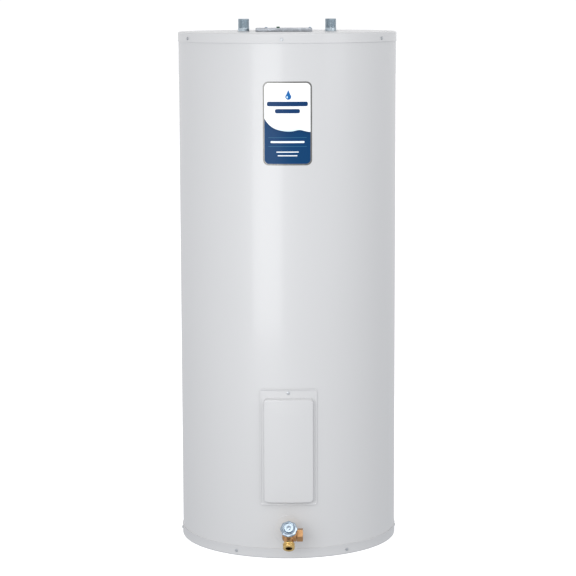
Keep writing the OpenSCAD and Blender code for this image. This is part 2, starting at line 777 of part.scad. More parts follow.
module thermostat_body() color("dimgray") difference() {
    union() {
        block([-control_w / 2, -control_front, thermo_z - thermo_h / 2],
            [control_w / 2, -control_back, thermo_z + thermo_h / 2]);
        translate([0, 1 - control_back, thermo_z]) facing_front() cylinder(r = 10, h = 2);
    }
    translate([0, -control_front - 1, thermo_z + 4]) facing_back() cylinder(r = 3 + run_gap, h = 9);
    for (s = [-1, 1]) translate([s * binding_dx, -control_front - 1, thermo_z - 14]) facing_back()
        cylinder(r = terminal_hole_r, h = 6);
}

module thermostat_dial() color("ivory") translate([0, -control_front - touch, thermo_z + 4])
    facing_front() difference() {
        union() {
            cylinder(r = dial_r, h = 7);
            translate([0, 0, -7]) cylinder(r = 3, h = 8);
        }
        translate([-7, -1, 5.5]) cube([14, 2, 3]);
    }

module limit_control() color("dimgray") difference() {
    block([-control_w / 2, -control_front, limit_z - limit_h / 2],
        [control_w / 2, -control_back, limit_z + limit_h / 2]);
    translate([reset_x, -control_front - 1, limit_z - 4]) facing_back() cylinder(r = 4.75, h = 9);
    for (s = [-1, 1]) translate([s * binding_dx, -control_front - 1, limit_z + 12]) facing_back()
        cylinder(r = terminal_hole_r, h = 6);
}

module reset_button() color("red") translate([reset_x, -control_front + 3.5, limit_z - 4])
    facing_front() cylinder(r = 4.7, h = 12);

module thermostat_cover() color("darkslategray") difference() {
    block([-35, -cover_front, thermo_z - 26], [35, -228, limit_z + 26]);
    block([-33.8, -cover_front + 1.2, thermo_z - 27], [33.8, -227, limit_z + 27]);
    translate([0, 0, thermo_z + 4]) facing_front() cylinder(r = dial_r + 0.8, h = 260);
    translate([reset_x, 0, limit_z - 4]) facing_front() cylinder(r = 5.4, h = 260);
}

// ---- Wiring ----

module conduit_tube() color("orange") difference() {
    conduit_run(0, 0, conduit_r, compartment_top_z - dam_t, box_y - box_depth / 2 - touch);
    conduit_run(0, 0, conduit_r - 1.2, compartment_top_z - dam_t - 1, box_y - box_depth / 2 + 1);
}

// A supply lead: terminal, compartment, conduit and a short tail in the junction box
module lead(side, tail_z) {
    x = conduit_x + side * lead_orbit;
    front_y = conduit_bend_y - conduit_bend_r;
    conduit_run(side * lead_orbit, 0, lead_r, lead_down_z, lead_in_y);
    wire([[x, front_y, lead_down_z + 1], [x, front_y, lead_down_z],
        [side * binding_dx, -control_front - 1.7, limit_z + 26],
        [side * binding_dx, -control_front - 1.7, limit_z + 16.5]], lead_r);
    wire([[x, lead_in_y - 1, conduit_z], [x, lead_in_y, conduit_z], [x, lead_in_y, tail_z]], lead_r);
}
module black_lead() color("black") lead(-1, 1190);
module red_lead() color("firebrick") lead(1, 1186);

module element_leads() color("royalblue") for (s = [-1, 1]) wire([
    [s * binding_dx, -control_front - 1.5, thermo_z - 18.5], [s * 16, -terminal_front - 1, thermo_z - 47],
    [s * terminal_dx, -terminal_front - 1.7, element_z + 5.5]], 1.3);

module junction_box() color("lightgray") translate([box_x, box_y, 0]) difference() {
    translate([-box_w / 2, -box_depth / 2, box_z0])
        cube([box_w, box_depth, pan_under - touch - box_z0]);
    translate([-box_w / 2 + box_t, -box_depth / 2 + box_t, box_z0 + box_t])
        cube([box_w - 2 * box_t, box_depth - 2 * box_t, 60]);
    translate([conduit_x - box_x, 0, conduit_z]) facing_front() cylinder(r = conduit_r - 0.5, h = 60);
}

module junction_cover() color("lightgray") difference() {
    translate([cover_x - cover_w / 2, box_y - cover_depth / 2, body_h + touch])
        cube([cover_w, cover_depth, cover_h - touch]);
    translate([cover_x - cover_w / 2 + 1, box_y - cover_depth / 2 + 1, body_h - 1])
        cube([cover_w - 2, cover_depth - 2, cover_h]);
    translate([box_x, box_y, body_h]) cylinder(d = knockout_d, h = 20);
    for (s = [-1, 1]) translate([box_x + s * cover_screw_dx, box_y, body_h])
        cylinder(r = screw_r + touch, h = 20);
    translate([ground_x, ground_y, body_h]) cylinder(r = screw_r + touch, h = 20);
}

module junction_cover_screws() color("silver") for (s = [-1, 1])
    translate([box_x + s * cover_screw_dx, box_y, body_h + cover_h + touch / 2]) sheet_screw();

module ground_screw() color("seagreen") translate([ground_x, ground_y, body_h + cover_h + touch / 2]) {
    hex_bar(7, 3.2);
    translate([0, 0, -7]) cylinder(r = screw_r, h = 7.5);
}

outer_jacket();
top_pan();
bottom_pan();
pan_screws();
front_label();
access_panel();
access_panel_screw();
panel_insulation_pad();
compartment_dam();
foam_insulation();
base_insulator();
tank_shell();
tank_top_head();
tank_bottom_head();
pipe_spuds();
element_spud();
cold_nipple();
hot_nipple();
nipple_seals();
heat_traps();
cold_dip_tube();
anode_rod();
anode_core();
anode_plug();
anode_cap();
relief_valve_body();
relief_valve_bonnet();
relief_valve_disc();
relief_valve_probe();
relief_valve_spring();
relief_lever_pin();
relief_valve_lever();
relief_escutcheon();
drain_valve_body();
drain_side_plug();
drain_packing_nut();
drain_stem();
drain_washer();
drain_handwheel();
drain_handle_screw();
drain_escutcheon();
heating_element();
element_gasket();
element_terminal_block();
terminal_screws();
thermostat_bracket();
thermostat_body();
thermostat_dial();
limit_control();
reset_button();
thermostat_cover();
conduit_tube();
black_lead();
red_lead();
element_leads();
junction_box();
junction_cover();
junction_cover_screws();
ground_screw();
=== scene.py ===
import math

import bpy
from mathutils import Matrix, Vector


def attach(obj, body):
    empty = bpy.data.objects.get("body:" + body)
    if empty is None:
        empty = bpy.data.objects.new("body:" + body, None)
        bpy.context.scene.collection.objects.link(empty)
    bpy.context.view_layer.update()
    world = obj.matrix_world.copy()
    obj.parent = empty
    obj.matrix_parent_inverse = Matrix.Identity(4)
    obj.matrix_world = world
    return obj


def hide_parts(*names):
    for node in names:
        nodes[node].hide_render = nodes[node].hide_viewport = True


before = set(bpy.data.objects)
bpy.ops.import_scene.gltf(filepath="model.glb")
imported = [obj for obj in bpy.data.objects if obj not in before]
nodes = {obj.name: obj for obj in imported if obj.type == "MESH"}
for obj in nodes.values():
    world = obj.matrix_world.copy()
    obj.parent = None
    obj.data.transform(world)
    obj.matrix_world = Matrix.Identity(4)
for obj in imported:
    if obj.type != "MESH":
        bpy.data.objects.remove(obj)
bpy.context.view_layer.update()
mm = 0.001
fullTurn = 2 * math.pi


# working habits: what is selected, applied and kept

def clearSelection():
    if bpy.context.object and bpy.context.object.mode != "OBJECT":
        bpy.ops.object.mode_set(mode="OBJECT")
    bpy.ops.object.select_all(action="DESELECT")


def pickOnly(*pieces):
    clearSelection()
    for piece in pieces:
        piece.select_set(True)
    bpy.context.view_layer.objects.active = pieces[0]


def settle(piece, turn=(0, 0, 0), move=(0, 0, 0)):
    # turn and move a finished shape, then put its place into its mesh
    pickOnly(piece)
    piece.rotation_euler = [math.radians(angle) for angle in turn]
    piece.location = [value * mm for value in move]
    bpy.ops.object.transform_apply(location=True, rotation=True, scale=True)
    return piece


def modify(piece, kind, **settings):
    pickOnly(piece)
    modifier = piece.modifiers.new(kind.title(), kind)
    for key, value in settings.items():
        setattr(modifier, key, value)
    bpy.ops.object.modifier_apply(modifier=modifier.name)
    return piece


def cut(piece, tool, operation="DIFFERENCE"):
    modify(piece, "BOOLEAN", operation=operation, object=tool, solver="EXACT")
    bpy.data.objects.remove(tool)
    return piece


def together(*pieces):
    pickOnly(*pieces)
    bpy.ops.object.join()
    return bpy.context.object


def dressed(piece, finishName):
    piece.data.materials.clear()
    piece.data.materials.append(finishes[finishName])
    return piece


def keep(piece, name, finishName, body, replaced=(), sharp=32):
    piece.name = name
    piece.data.name = name
    pickOnly(piece)
    bpy.ops.object.shade_smooth_by_angle(angle=math.radians(sharp))
    if finishName:
        dressed(piece, finishName)
    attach(piece, body)
    if replaced:
        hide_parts(*replaced)
    return piece


def cleanUp(piece, flip=True):
    pickOnly(piece)
    bpy.ops.object.mode_set(mode="EDIT")
    bpy.ops.mesh.select_all(action="SELECT")
    bpy.ops.mesh.remove_doubles(threshold=2e-6)
    if flip:
        bpy.ops.mesh.normals_make_consistent(inside=False)
    bpy.ops.object.mode_set(mode="OBJECT")
    return piece


def frontwards(piece, x=0, y=0, z=0):
    # lays an upright piece down so that its top points out of the front
    return settle(piece, turn=(90, 0, 0), move=(x, y, z))


def sideways(piece, x=0, y=0, z=0):
    # lays an upright piece down so that its top points to the right
    return settle(piece, turn=(0, 90, 0), move=(x, y, z))


# basic shapes, all sizes in millimetres

def turned(outline, steps=96, angle=360):
    # a profile of (radius, height) points, extruded point by point and spun round Z
    clearSelection()
    bpy.ops.mesh.primitive_plane_add(size=0.002)
    piece = bpy.context.object
    bpy.ops.object.mode_set(mode="EDIT")
    bpy.ops.mesh.select_all(action="SELECT")
    bpy.ops.mesh.merge(type="CENTER")
    bpy.ops.transform.translate(value=(outline[0][0] * mm, 0, outline[0][1] * mm))
    for old, new in zip(outline, outline[1:]):
        step = ((new[0] - old[0]) * mm, 0, (new[1] - old[1]) * mm)
        bpy.ops.mesh.extrude_region_move(TRANSFORM_OT_translate={"value": step})
    bpy.ops.mesh.select_all(action="SELECT")
    bpy.ops.mesh.spin(steps=steps, angle=math.radians(angle), center=(0, 0, 0), axis=(0, 0, 1))
    bpy.ops.object.mode_set(mode="OBJECT")
    return cleanUp(piece)


def arc(r, z, radius, start, end, count=6):
    # points on a quarter or half round, for a turned outline
    angles = [math.radians(start + (end - start) * i / count) for i in range(count + 1)]
    return [(r + radius * math.cos(a), z + radius * math.sin(a)) for a in angles]


def disc(r, z0, z1, edge=0.4, steps=64):
    # solid round bar with softened ends
    return turned([(0, z0), *arc(r - edge, z0 + edge, edge, -90, 0, 3),
                   *arc(r - edge, z1 - edge, edge, 0, 90, 3), (0, z1)], steps)


def ring(rIn, rOut, z0, z1, edge=0.3, steps=64):
    # round tube with softened outer edges
    return turned([(rIn, z0), *arc(rOut - edge, z0 + edge, edge, -90, 0, 3),
                   *arc(rOut - edge, z1 - edge, edge, 0, 90, 3), (rIn, z1), (rIn, z0)], steps)


def slab(size, middle=(0, 0, 0), edge=0.5, segments=3):
    clearSelection()
    bpy.ops.mesh.primitive_cube_add(size=mm)
    piece = bpy.context.object
    piece.scale = size
    piece.location = [value * mm for value in middle]
    bpy.ops.object.transform_apply(location=True, rotation=True, scale=True)
    if edge:
        modify(piece, "BEVEL", width=edge * mm, segments=segments, limit_method="ANGLE")
    return piece


def hexBar(across, z0, z1, chamfer=1.2):
    # six flats whose corners are turned off at both ends
    clearSelection()
    corner = across / math.sqrt(3)
    bpy.ops.mesh.primitive_cylinder_add(vertices=6, radius=corner * mm, depth=(z1 - z0) * mm,
                                        location=(0, 0, (z0 + z1) / 2 * mm))
    bar = bpy.context.object
    bpy.ops.object.transform_apply(location=True, rotation=True, scale=True)
    modify(bar, "BEVEL", width=0.25 * mm, segments=2, limit_method="ANGLE")
    flat = across / 2 - 0.1
    tool = turned([(0, z0), (flat, z0), (corner + 0.3, z0 + chamfer), (corner + 0.3, z1 - chamfer),
                   (flat, z1), (0, z1)], 72)
    return cut(bar, tool, "INTERSECT")


def roundBlock(w, h, radius, depth=60, steps=8):
    # upright rounded rectangle in X and Z, reaching depth towards -Y from the origin
    clearSelection()
    bpy.ops.mesh.primitive_cube_add(size=mm)
    piece = bpy.context.object
    piece.scale = (w, depth, h)
    piece.location = (0, -depth / 2 * mm, 0)
    bpy.ops.object.transform_apply(location=True, rotation=True, scale=True)
    bpy.ops.object.mode_set(mode="EDIT")
    bpy.ops.mesh.select_mode(type="EDGE")
    bpy.ops.mesh.select_all(action="DESELECT")
    bpy.ops.object.mode_set(mode="OBJECT")
    for edge in piece.data.edges:
        a, b = [piece.data.vertices[i].co for i in edge.vertices]
        edge.select = abs(a.y - b.y) > depth * mm / 2
    bpy.ops.object.mode_set(mode="EDIT")
    bpy.ops.mesh.bevel(offset=radius * mm, segments=steps)
    bpy.ops.mesh.select_mode(type="VERT")
    bpy.ops.object.mode_set(mode="OBJECT")
    return piece


def threadOn(piece, z0, z1, pitch, depth, rMin):
    # a helical thread, cut by moving the rows of a turned skin
    for vertex in piece.data.vertices:
        z = vertex.co.z / mm
        r = math.hypot(vertex.co.x, vertex.co.y) / mm
        if z0 < z < z1 and r > rMin:
            share = (z / pitch - math.atan2(vertex.co.y, vertex.co.x) / fullTurn) % 1
            fade = min(1, (z - z0) / pitch, (z1 - z) / pitch)
            groove = depth * fade * min(1, 1.25 * abs(2 * share - 1))
            vertex.co.x *= (r - groove) / r
            vertex.co.y *= (r - groove) / r
    return piece


def threadRows(r, z0, z1, pitch, perTurn=8):
    count = round((z1 - z0) / pitch * perTurn)
    return [(r, z0 + (z1 - z0) * i / count) for i in range(count + 1)]


def wrapOn(piece, radius):
    # bends a flat piece round the jacket: X becomes arc length, -Y stays outwards
    for vertex in piece.data.vertices:
        angle = vertex.co.x / (radius * mm)
        out = radius * mm - vertex.co.y
        vertex.co.x = out * math.sin(angle)
        vertex.co.y = -out * math.cos(angle)
    return piece


def sheetGrid(xs, zs):
    # an upright grid facing the front whose columns and rows stand at the given places
    clearSelection()
    bpy.ops.mesh.primitive_grid_add(x_subdivisions=len(xs) - 1, y_subdivisions=len(zs) - 1, size=2)
    piece = bpy.context.object
    for vertex in piece.data.vertices:
        column = round((vertex.co.x + 1) / 2 * (len(xs) - 1))
        row = round((vertex.co.y + 1) / 2 * (len(zs) - 1))
        vertex.co = (xs[column] * mm, 0, zs[row] * mm)
    return piece


def spread(*stretches):
    # places from (start, end, step) stretches, each once
    places = []
    for start, end, step in stretches:
        count = max(1, round((end - start) / step))
        places += [start + (end - start) * i / count for i in range(count)]
    return places + [stretches[-1][1]]


def roundRectDistance(x, z, w, h, radius):
    qx = abs(x) - (w / 2 - radius)
    qz = abs(z) - (h / 2 - radius)
    return math.hypot(max(qx, 0), max(qz, 0)) + min(max(qx, qz), 0) - radius


def softStep(value):
    value = min(1, max(0, value))
    return value * value * (3 - 2 * value)


# shared shader groups

def newGroup(name, inputs, outputs):
    group = bpy.data.node_groups.new(name, "ShaderNodeTree")
    for label, kind, value in inputs:
        socket = group.interface.new_socket(name=label, in_out="INPUT", socket_type=kind)
        socket.default_value = value
    for label, kind in outputs:
        group.interface.new_socket(name=label, in_out="OUTPUT", socket_type=kind)
    return group, group.nodes.new("NodeGroupInput"), group.nodes.new("NodeGroupOutput")


def mathNode(tree, operation, *values, clamp=False):
    node = tree.nodes.new("ShaderNodeMath")
    node.operation = operation
    node.use_clamp = clamp
    for socket, value in zip(node.inputs, values):
        if isinstance(value, (int, float)):
            socket.default_value = value
        else:
            tree.links.new(value, socket)
    return node.outputs[0]


def mixNode(tree, factor, first, second):
    node = tree.nodes.new("ShaderNodeMix")
    node.data_type = "RGBA"
    for socket, value in ((node.inputs[0], factor), (node.inputs[6], first), (node.inputs[7], second)):
        if isinstance(value, (int, float)):
            socket.default_value = value
        elif isinstance(value, tuple):
            socket.default_value = (*value, 1) if len(value) == 3 else value
        else:
            tree.links.new(value, socket)
    return node.outputs[2]


def noiseNode(tree, vector, scale, detail=3.0, roughness=0.5):
    node = tree.nodes.new("ShaderNodeTexNoise")
    node.inputs["Detail"].default_value = detail
    node.inputs["Roughness"].default_value = roughness
    if isinstance(scale, (int, float)):
        node.inputs["Scale"].default_value = scale
    else:
        tree.links.new(scale, node.inputs["Scale"])
    tree.links.new(vector, node.inputs["Vector"])
    return node.outputs["Fac"]


def makeSurfaceLife():
    # broad tone drift, fine grain and rubbed patches that every finish uses
    group, given, out = newGroup("surfaceLife", [
        ("Colour", "NodeSocketColor", (0.5, 0.5, 0.5, 1)), ("Drift", "NodeSocketFloat", 0.05),
        ("Roughness", "NodeSocketFloat", 0.4), ("Rub", "NodeSocketFloat", 0.1),
        ("Patch Scale", "NodeSocketFloat", 12.0), ("Grain Scale", "NodeSocketFloat", 900.0)],
        [("Colour", "NodeSocketColor"), ("Roughness", "NodeSocketFloat"), ("Grain", "NodeSocketFloat")])
    place = group.nodes.new("ShaderNodeTexCoord").outputs["Object"]
    patches = noiseNode(group, place, given.outputs["Patch Scale"], 4)
    grain = noiseNode(group, place, given.outputs["Grain Scale"], 2)
    level = mathNode(group, "SUBTRACT", patches, 0.5)
    shade = mathNode(group, "MULTIPLY_ADD", level, given.outputs["Drift"], 1.0)
    scaled = group.nodes.new("ShaderNodeVectorMath")
    scaled.operation = "SCALE"
    group.links.new(given.outputs["Colour"], scaled.inputs[0])
    group.links.new(shade, scaled.inputs["Scale"])
    rough = mathNode(group, "MULTIPLY_ADD", level, given.outputs["Rub"], given.outputs["Roughness"],
                     clamp=True)
    group.links.new(scaled.outputs[0], out.inputs["Colour"])
    group.links.new(rough, out.inputs["Roughness"])
    group.links.new(grain, out.inputs["Grain"])
    return group


def makeSpangle():
    # crystal flakes of a hot zinc bath, each its own tone
    group, given, out = newGroup("zincSpangle", [
        ("Scale", "NodeSocketFloat", 120.0), ("Contrast", "NodeSocketFloat", 0.2)],
        [("Tone", "NodeSocketFloat")])
    place = group.nodes.new("ShaderNodeTexCoord").outputs["Object"]
    flakes = group.nodes.new("ShaderNodeTexVoronoi")
    group.links.new(place, flakes.inputs["Vector"])
    group.links.new(given.outputs["Scale"], flakes.inputs["Scale"])
    grey = group.nodes.new("ShaderNodeSeparateColor")
    group.links.new(flakes.outputs["Color"], grey.inputs[0])
    level = mathNode(group, "SUBTRACT", grey.outputs[0], 0.5)
    group.links.new(mathNode(group, "MULTIPLY_ADD", level, given.outputs["Contrast"], 1.0),
                    out.inputs["Tone"])
    return group


surfaceLife = makeSurfaceLife()
zincSpangle = makeSpangle()


def finish(name, colour, roughness, metallic=0.0, drift=0.05, rub=0.1, patch=12.0, grain=900.0,
           bump=0.1, bumpDepth=0.02, coat=0.0, spangle=None):
    material = bpy.data.materials.new(name)
    material.use_nodes = True
    tree = material.node_tree
    shader = tree.nodes["Principled BSDF"]
    life = tree.nodes.new("ShaderNodeGroup")
    life.node_tree = surfaceLife
    life.inputs["Colour"].default_value = (*colour, 1)
    life.inputs["Drift"].default_value = drift
    life.inputs["Roughness"].default_value = roughness
    life.inputs["Rub"].default_value = rub
    life.inputs["Patch Scale"].default_value = patch
    life.inputs["Grain Scale"].default_value = grain
    colourOut = life.outputs["Colour"]
    if spangle:
        flakes = tree.nodes.new("ShaderNodeGroup")
        flakes.node_tree = zincSpangle
        flakes.inputs["Scale"].default_value = spangle[0]
        flakes.inputs["Contrast"].default_value = spangle[1]
        scaled = tree.nodes.new("ShaderNodeVectorMath")
        scaled.operation = "SCALE"
        tree.links.new(colourOut, scaled.inputs[0])
        tree.links.new(flakes.outputs["Tone"], scaled.inputs["Scale"])
        colourOut = scaled.outputs[0]
    tree.links.new(colourOut, shader.inputs["Base Color"])
    tree.links.new(life.outputs["Roughness"], shader.inputs["Roughness"])
    shader.inputs["Metallic"].default_value = metallic
    shader.inputs["Coat Weight"].default_value = coat
    shader.inputs["Coat Roughness"].default_value = 0.12
    bumpNode = tree.nodes.new("ShaderNodeBump")
    bumpNode.inputs["Strength"].default_value = bump
    bumpNode.inputs["Distance"].default_value = bumpDepth * mm
    tree.links.new(life.outputs["Grain"], bumpNode.inputs["Height"])
    tree.links.new(bumpNode.outputs["Normal"], shader.inputs["Normal"])
    return material


finishes = {
    "whiteEnamel": finish("whiteEnamel", (0.545, 0.549, 0.555), 0.40, drift=0.015, rub=0.05, patch=5,
                          grain=700, bump=0.25, bumpDepth=0.03, coat=0.25),
    "zincPlate": finish("zincPlate", (0.38, 0.45, 0.52), 0.20, metallic=1, drift=0.15, rub=0.2,
                        patch=90, grain=2500, bump=0.2),
    "dullZinc": finish("dullZinc", (0.47, 0.49, 0.51), 0.42, metallic=1, drift=0.15, rub=0.2,
                       patch=90, grain=2500, bump=0.2),
    "pipeZinc": finish("pipeZinc", (0.42, 0.49, 0.54), 0.30, metallic=1, drift=0.25, rub=0.25,
                       patch=60, grain=1800, bump=0.3),
    "galvanised": finish("galvanised", (0.42, 0.445, 0.48), 0.34, metallic=1, drift=0.1, rub=0.15,
                         patch=30, grain=1500, bump=0.15, spangle=(150, 0.35)),
    "castBrass": finish("castBrass", (0.50, 0.28, 0.13), 0.38, metallic=1, drift=0.3, rub=0.25,
                        patch=70, grain=1600, bump=0.5, bumpDepth=0.06),
    "turnedBrass": finish("turnedBrass", (0.68, 0.47, 0.18), 0.24, metallic=1, drift=0.12, rub=0.12,
                          patch=80, grain=2600, bump=0.2),
    "springSteel": finish("springSteel", (0.48, 0.49, 0.50), 0.3, metallic=1, rub=0.15, patch=120),
    "blackSteel": finish("blackSteel", (0.07, 0.075, 0.08), 0.55, drift=0.4, rub=0.2, patch=14,
                         grain=1000, bump=0.3, bumpDepth=0.05),
    "foam": finish("foam", (0.80, 0.70, 0.42), 0.85, drift=0.2, patch=25, grain=500, bump=0.7,
                   bumpDepth=0.3),
    "glassFibre": finish("glassFibre", (0.80, 0.68, 0.34), 0.9, drift=0.3, patch=60, grain=1400,
                         bump=0.9, bumpDepth=0.5),
    "magnesium": finish("magnesium", (0.55, 0.55, 0.53), 0.5, metallic=0.9, drift=0.15, patch=40),
    "copper": finish("copper", (0.75, 0.36, 0.22), 0.3, metallic=1, drift=0.2, patch=60),
    "creamPlastic": finish("creamPlastic", (0.72, 0.68, 0.56), 0.45, drift=0.04, patch=30,
                           bump=0.15),
    "bluePlastic": finish("bluePlastic", (0.18, 0.36, 0.62), 0.4, drift=0.05, patch=40),
    "blackPlastic": finish("blackPlastic", (0.03, 0.03, 0.032), 0.42, drift=0.2, patch=40,
                           grain=1600, bump=0.3),
    "greyPlastic": finish("greyPlastic", (0.22, 0.23, 0.24), 0.45, drift=0.1, patch=40, bump=0.2),
    "orangePlastic": finish("orangePlastic", (0.72, 0.27, 0.06), 0.45, drift=0.06, patch=40),
    "redPlastic": finish("redPlastic", (0.62, 0.02, 0.015), 0.3, drift=0.05, patch=60),
    "blackRubber": finish("blackRubber", (0.02, 0.02, 0.02), 0.65, drift=0.2, patch=60, bump=0.3),
    "blackWire": finish("blackWire", (0.015, 0.015, 0.015), 0.35, patch=80),
    "redWire": finish("redWire", (0.50, 0.015, 0.012), 0.35, patch=80),
    "blueWire": finish("blueWire", (0.02, 0.07, 0.35), 0.35, patch=80),
    "greenSteel": finish("greenSteel", (0.02, 0.085, 0.04), 0.4, metallic=0.5, patch=80),
    "elementAlloy": finish("elementAlloy", (0.42, 0.40, 0.38), 0.35, metallic=1, drift=0.2, patch=50),
}
print("finishes ready:", len(finishes))


# camera, floor and light

camera = {"distance": 4847, "height": 1275.7, "pitchDown": 8.032, "roll": -0.186, "lens": 128.64}
clearSelection()
bpy.ops.object.camera_add(location=(0, -camera["distance"] * mm, camera["height"] * mm))
viewer = bpy.context.object
aim = Matrix.Rotation(math.radians(90 - camera["pitchDown"]), 4, "X")
viewer.rotation_euler = (aim @ Matrix.Rotation(math.radians(camera["roll"]), 4, "Z")).to_euler()
viewer.data.lens = camera["lens"]
viewer.data.sensor_width = 36
bpy.context.scene.camera = viewer
bpy.context.scene.view_settings.view_transform = "Standard"

# a room brighter above than below, so that edges facing down fall into shade
sky = {"below": (0.62, 0.64, 0.68), "level": (1.08, 1.08, 1.09), "above": (0.80, 0.80, 0.81)}
world = bpy.data.worlds.new("studio")
bpy.context.scene.world = world
world.use_nodes = True
skyTree = world.node_tree
skyHeight = skyTree.nodes.new("ShaderNodeSeparateXYZ")
skyTree.links.new(skyTree.nodes.new("ShaderNodeTexCoord").outputs["Generated"], skyHeight.inputs[0])
skyBlend = skyHeight.outputs["Z"]
skyColour = None
for start, end, first, second in ((-0.35, 0.05, "below", "level"), (0.15, 0.6, "level", "above")):
    skyRamp = skyTree.nodes.new("ShaderNodeMapRange")
    skyRamp.interpolation_type = "SMOOTHSTEP"
    skyRamp.inputs["From Min"].default_value = start
    skyRamp.inputs["From Max"].default_value = end
    skyTree.links.new(skyBlend, skyRamp.inputs["Value"])
    skyColour = mixNode(skyTree, skyRamp.outputs[0], skyColour or sky[first], sky[second])
skyTree.links.new(skyColour, skyTree.nodes["Background"].inputs["Color"])

bpy.ops.mesh.primitive_plane_add(size=60)
floor = bpy.context.object
floor.name = "floor"
paleFloor = bpy.data.materials.new("paleFloor")
paleFloor.use_nodes = True
floorShader = paleFloor.node_tree.nodes["Principled BSDF"]
floorShader.inputs["Base Color"].default_value = (0.8, 0.8, 0.8, 1)
floorShader.inputs["Roughness"].default_value = 0.95
floorShader.inputs["Emission Color"].default_value = (1, 1, 1, 1)
floorShader.inputs["Emission Strength"].default_value = 0.6
floor.data.materials.append(paleFloor)
floor.visible_diffuse = False
floor.visible_glossy = False

softBoxes = {
    "stripBox": {"place": (-0.66, -1.82, 0.73), "aim": (0, -0.25, 0.69), "size": (1.0, 1.0),
                 "power": 12.8},
    "topBox": {"place": (0.5, -2.3, 3.4), "aim": (0, -0.1, 0.8), "size": (2.0, 1.4), "power": 18},
    "fillBox": {"place": (3.2, -2.6, 2.1), "aim": (0, 0, 0.8), "size": (1.8, 2.6), "power": 19},
}
for name, box in softBoxes.items():
    bpy.ops.object.light_add(type="AREA", location=box["place"])
    light = bpy.context.object
    light.name = name
    light.data.shape = "RECTANGLE"
    light.data.size, light.data.size_y = box["size"]
    light.data.energy = box["power"]
    direction = Vector(box["aim"]) - Vector(box["place"])
    light.rotation_euler = direction.to_track_quat("-Z", "Y").to_euler()
print("camera, floor and lights ready")


# jacket and pans

jacket = {"r": 254, "t": 0.8, "z0": 4.1, "z1": 1193.9, "sides": 288}
ports = {"x": 101.6, "anodeY": 130, "drainZ": 68.5, "reliefZ": 1050, "valveR": 18, "top": 1198}


def jacketTool(w, z0, z1, radius):
    # a round-cornered cutter that reaches through the jacket's front
    return settle(roundBlock(w, z1 - z0, radius, depth=80), move=(0, -200, (z0 + z1) / 2))


def makeJacket():
    rOut, rIn, z0, z1 = jacket["r"], jacket["r"] - jacket["t"], jacket["z0"], jacket["z1"]
    bands = [z0, 40, 110, 135, 380, 410, 900, 1010, 1090, z1]
    shell = turned([*[(rIn, z) for z in reversed(bands)], *[(rOut, z) for z in bands], (rIn, z1)],
                   jacket["sides"])
    cut(shell, jacketTool(100, 140, 368, 6))
    cut(shell, frontwards(disc(ports["valveR"], 0, 80), 0, -210, ports["drainZ"]))
    cut(shell, settle(disc(ports["valveR"], 0, 80), turn=(-90, 0, 0), move=(0, 210, ports["reliefZ"])))
    # the rolled lock seam, a double thickness down the back
    seamW, seamAngle = 14, 150
    seam = slab((seamW, 1.0, 1145), (0, -0.3, 599.75), edge=0.45)
    wrapOn(modify(seam, "SUBSURF", levels=2, render_levels=2, subdivision_type="SIMPLE"), rOut)
    shell = together(shell, settle(seam, turn=(0, 0, seamAngle)))
    return keep(shell, "outerJacket", "whiteEnamel", "heater",
                ["outer_jacket"], sharp=25)


def makeTopPan():
    rIn, rOut, top, lip, edge = 254.1, 255.1, ports["top"], 22.5, 4
    under = top - 1
    hem = 0.3  # the lip's lower edge is folded outwards a little
    outline = [(0, top), *arc(rOut - edge, top - edge, edge, 90, 0, 8), (rOut, top - lip + 2.5),
               (rOut + hem, top - lip + 1.2), (rOut + hem, top - lip + 0.2), (rIn, top - lip),
               (rIn, under - 3), *arc(rIn - 3, under - 3, 3, 0, 90, 6)[1:], (0, under)]
    pan = turned(outline, jacket["sides"])
    for x in (-ports["x"], ports["x"]):
        cut(pan, settle(disc(16, -5, 5, 0.1), move=(x, 0, top)))
    cut(pan, settle(disc(20.5, -5, 5, 0.1), move=(0, ports["anodeY"], top)))
    cut(pan, slab((84, 73, 10), (2, -22.5, top), edge=0))
    return keep(pan, "topPan", "whiteEnamel", "heater", ["top_pan"], sharp=30)


def makeBottomPan():
    rIn, rOut, lip, edge = 254.1, 255.1, 24, 4
    outline = [(0, 0), *arc(rOut - edge, edge, edge, -90, 0, 8), (rOut, lip - 2.5),
               (rOut + 0.5, lip - 1.2), (rOut + 0.5, lip - 0.2), (rIn, lip), (rIn, edge),
               *arc(rIn - 3, edge, 3, 0, -90, 6)[1:], (0, 1)]
    return keep(turned(outline, jacket["sides"]), "bottomPan", "whiteEnamel", "heater",
                ["bottom_pan"], sharp=30)


makeJacket()
makeTopPan()
makeBottomPan()
print("jacket and pans done")


# screws

def sheetScrew():
    # hexagon washer head with a driver slot and a coarse threaded shank
    washer = turned([(0, -0.05), (3.5, -0.05), *arc(3.55, 0.25, 0.25, -90, 90, 4), (2.9, 0.62),
                     (0, 0.7)], 40)
    head = hexBar(5.6, 0.4, 2.2, 0.5)
    cut(head, slab((8, 0.8, 1.4), (0, 0, 2.3), edge=0))
    shank = turned([(0, -11), (0.5, -10.4), (1.3, -9), *threadRows(1.7, -8.8, -1, 1.3, 6), (1.7, 0),
                    (0, 0)], 18)
    threadOn(shank, -9, -0.6, 1.3, 0.35, 1.2)
    return together(washer, head, shank)


# first screw's angle and height in each lip
screwPlaces = {"y": -255.15, "count": 6, "top": (-2.8, 1184), "bottom": (31.7, 12), "panelZ": 387}


def lipScrews(firstAngle, z):
    screws = []
    for count in range(screwPlaces["count"]):
        screw = frontwards(sheetScrew(), y=screwPlaces["y"], z=z)
        screws.append(settle(screw, turn=(0, 0, firstAngle + 360 / screwPlaces["count"] * count)))
    return screws


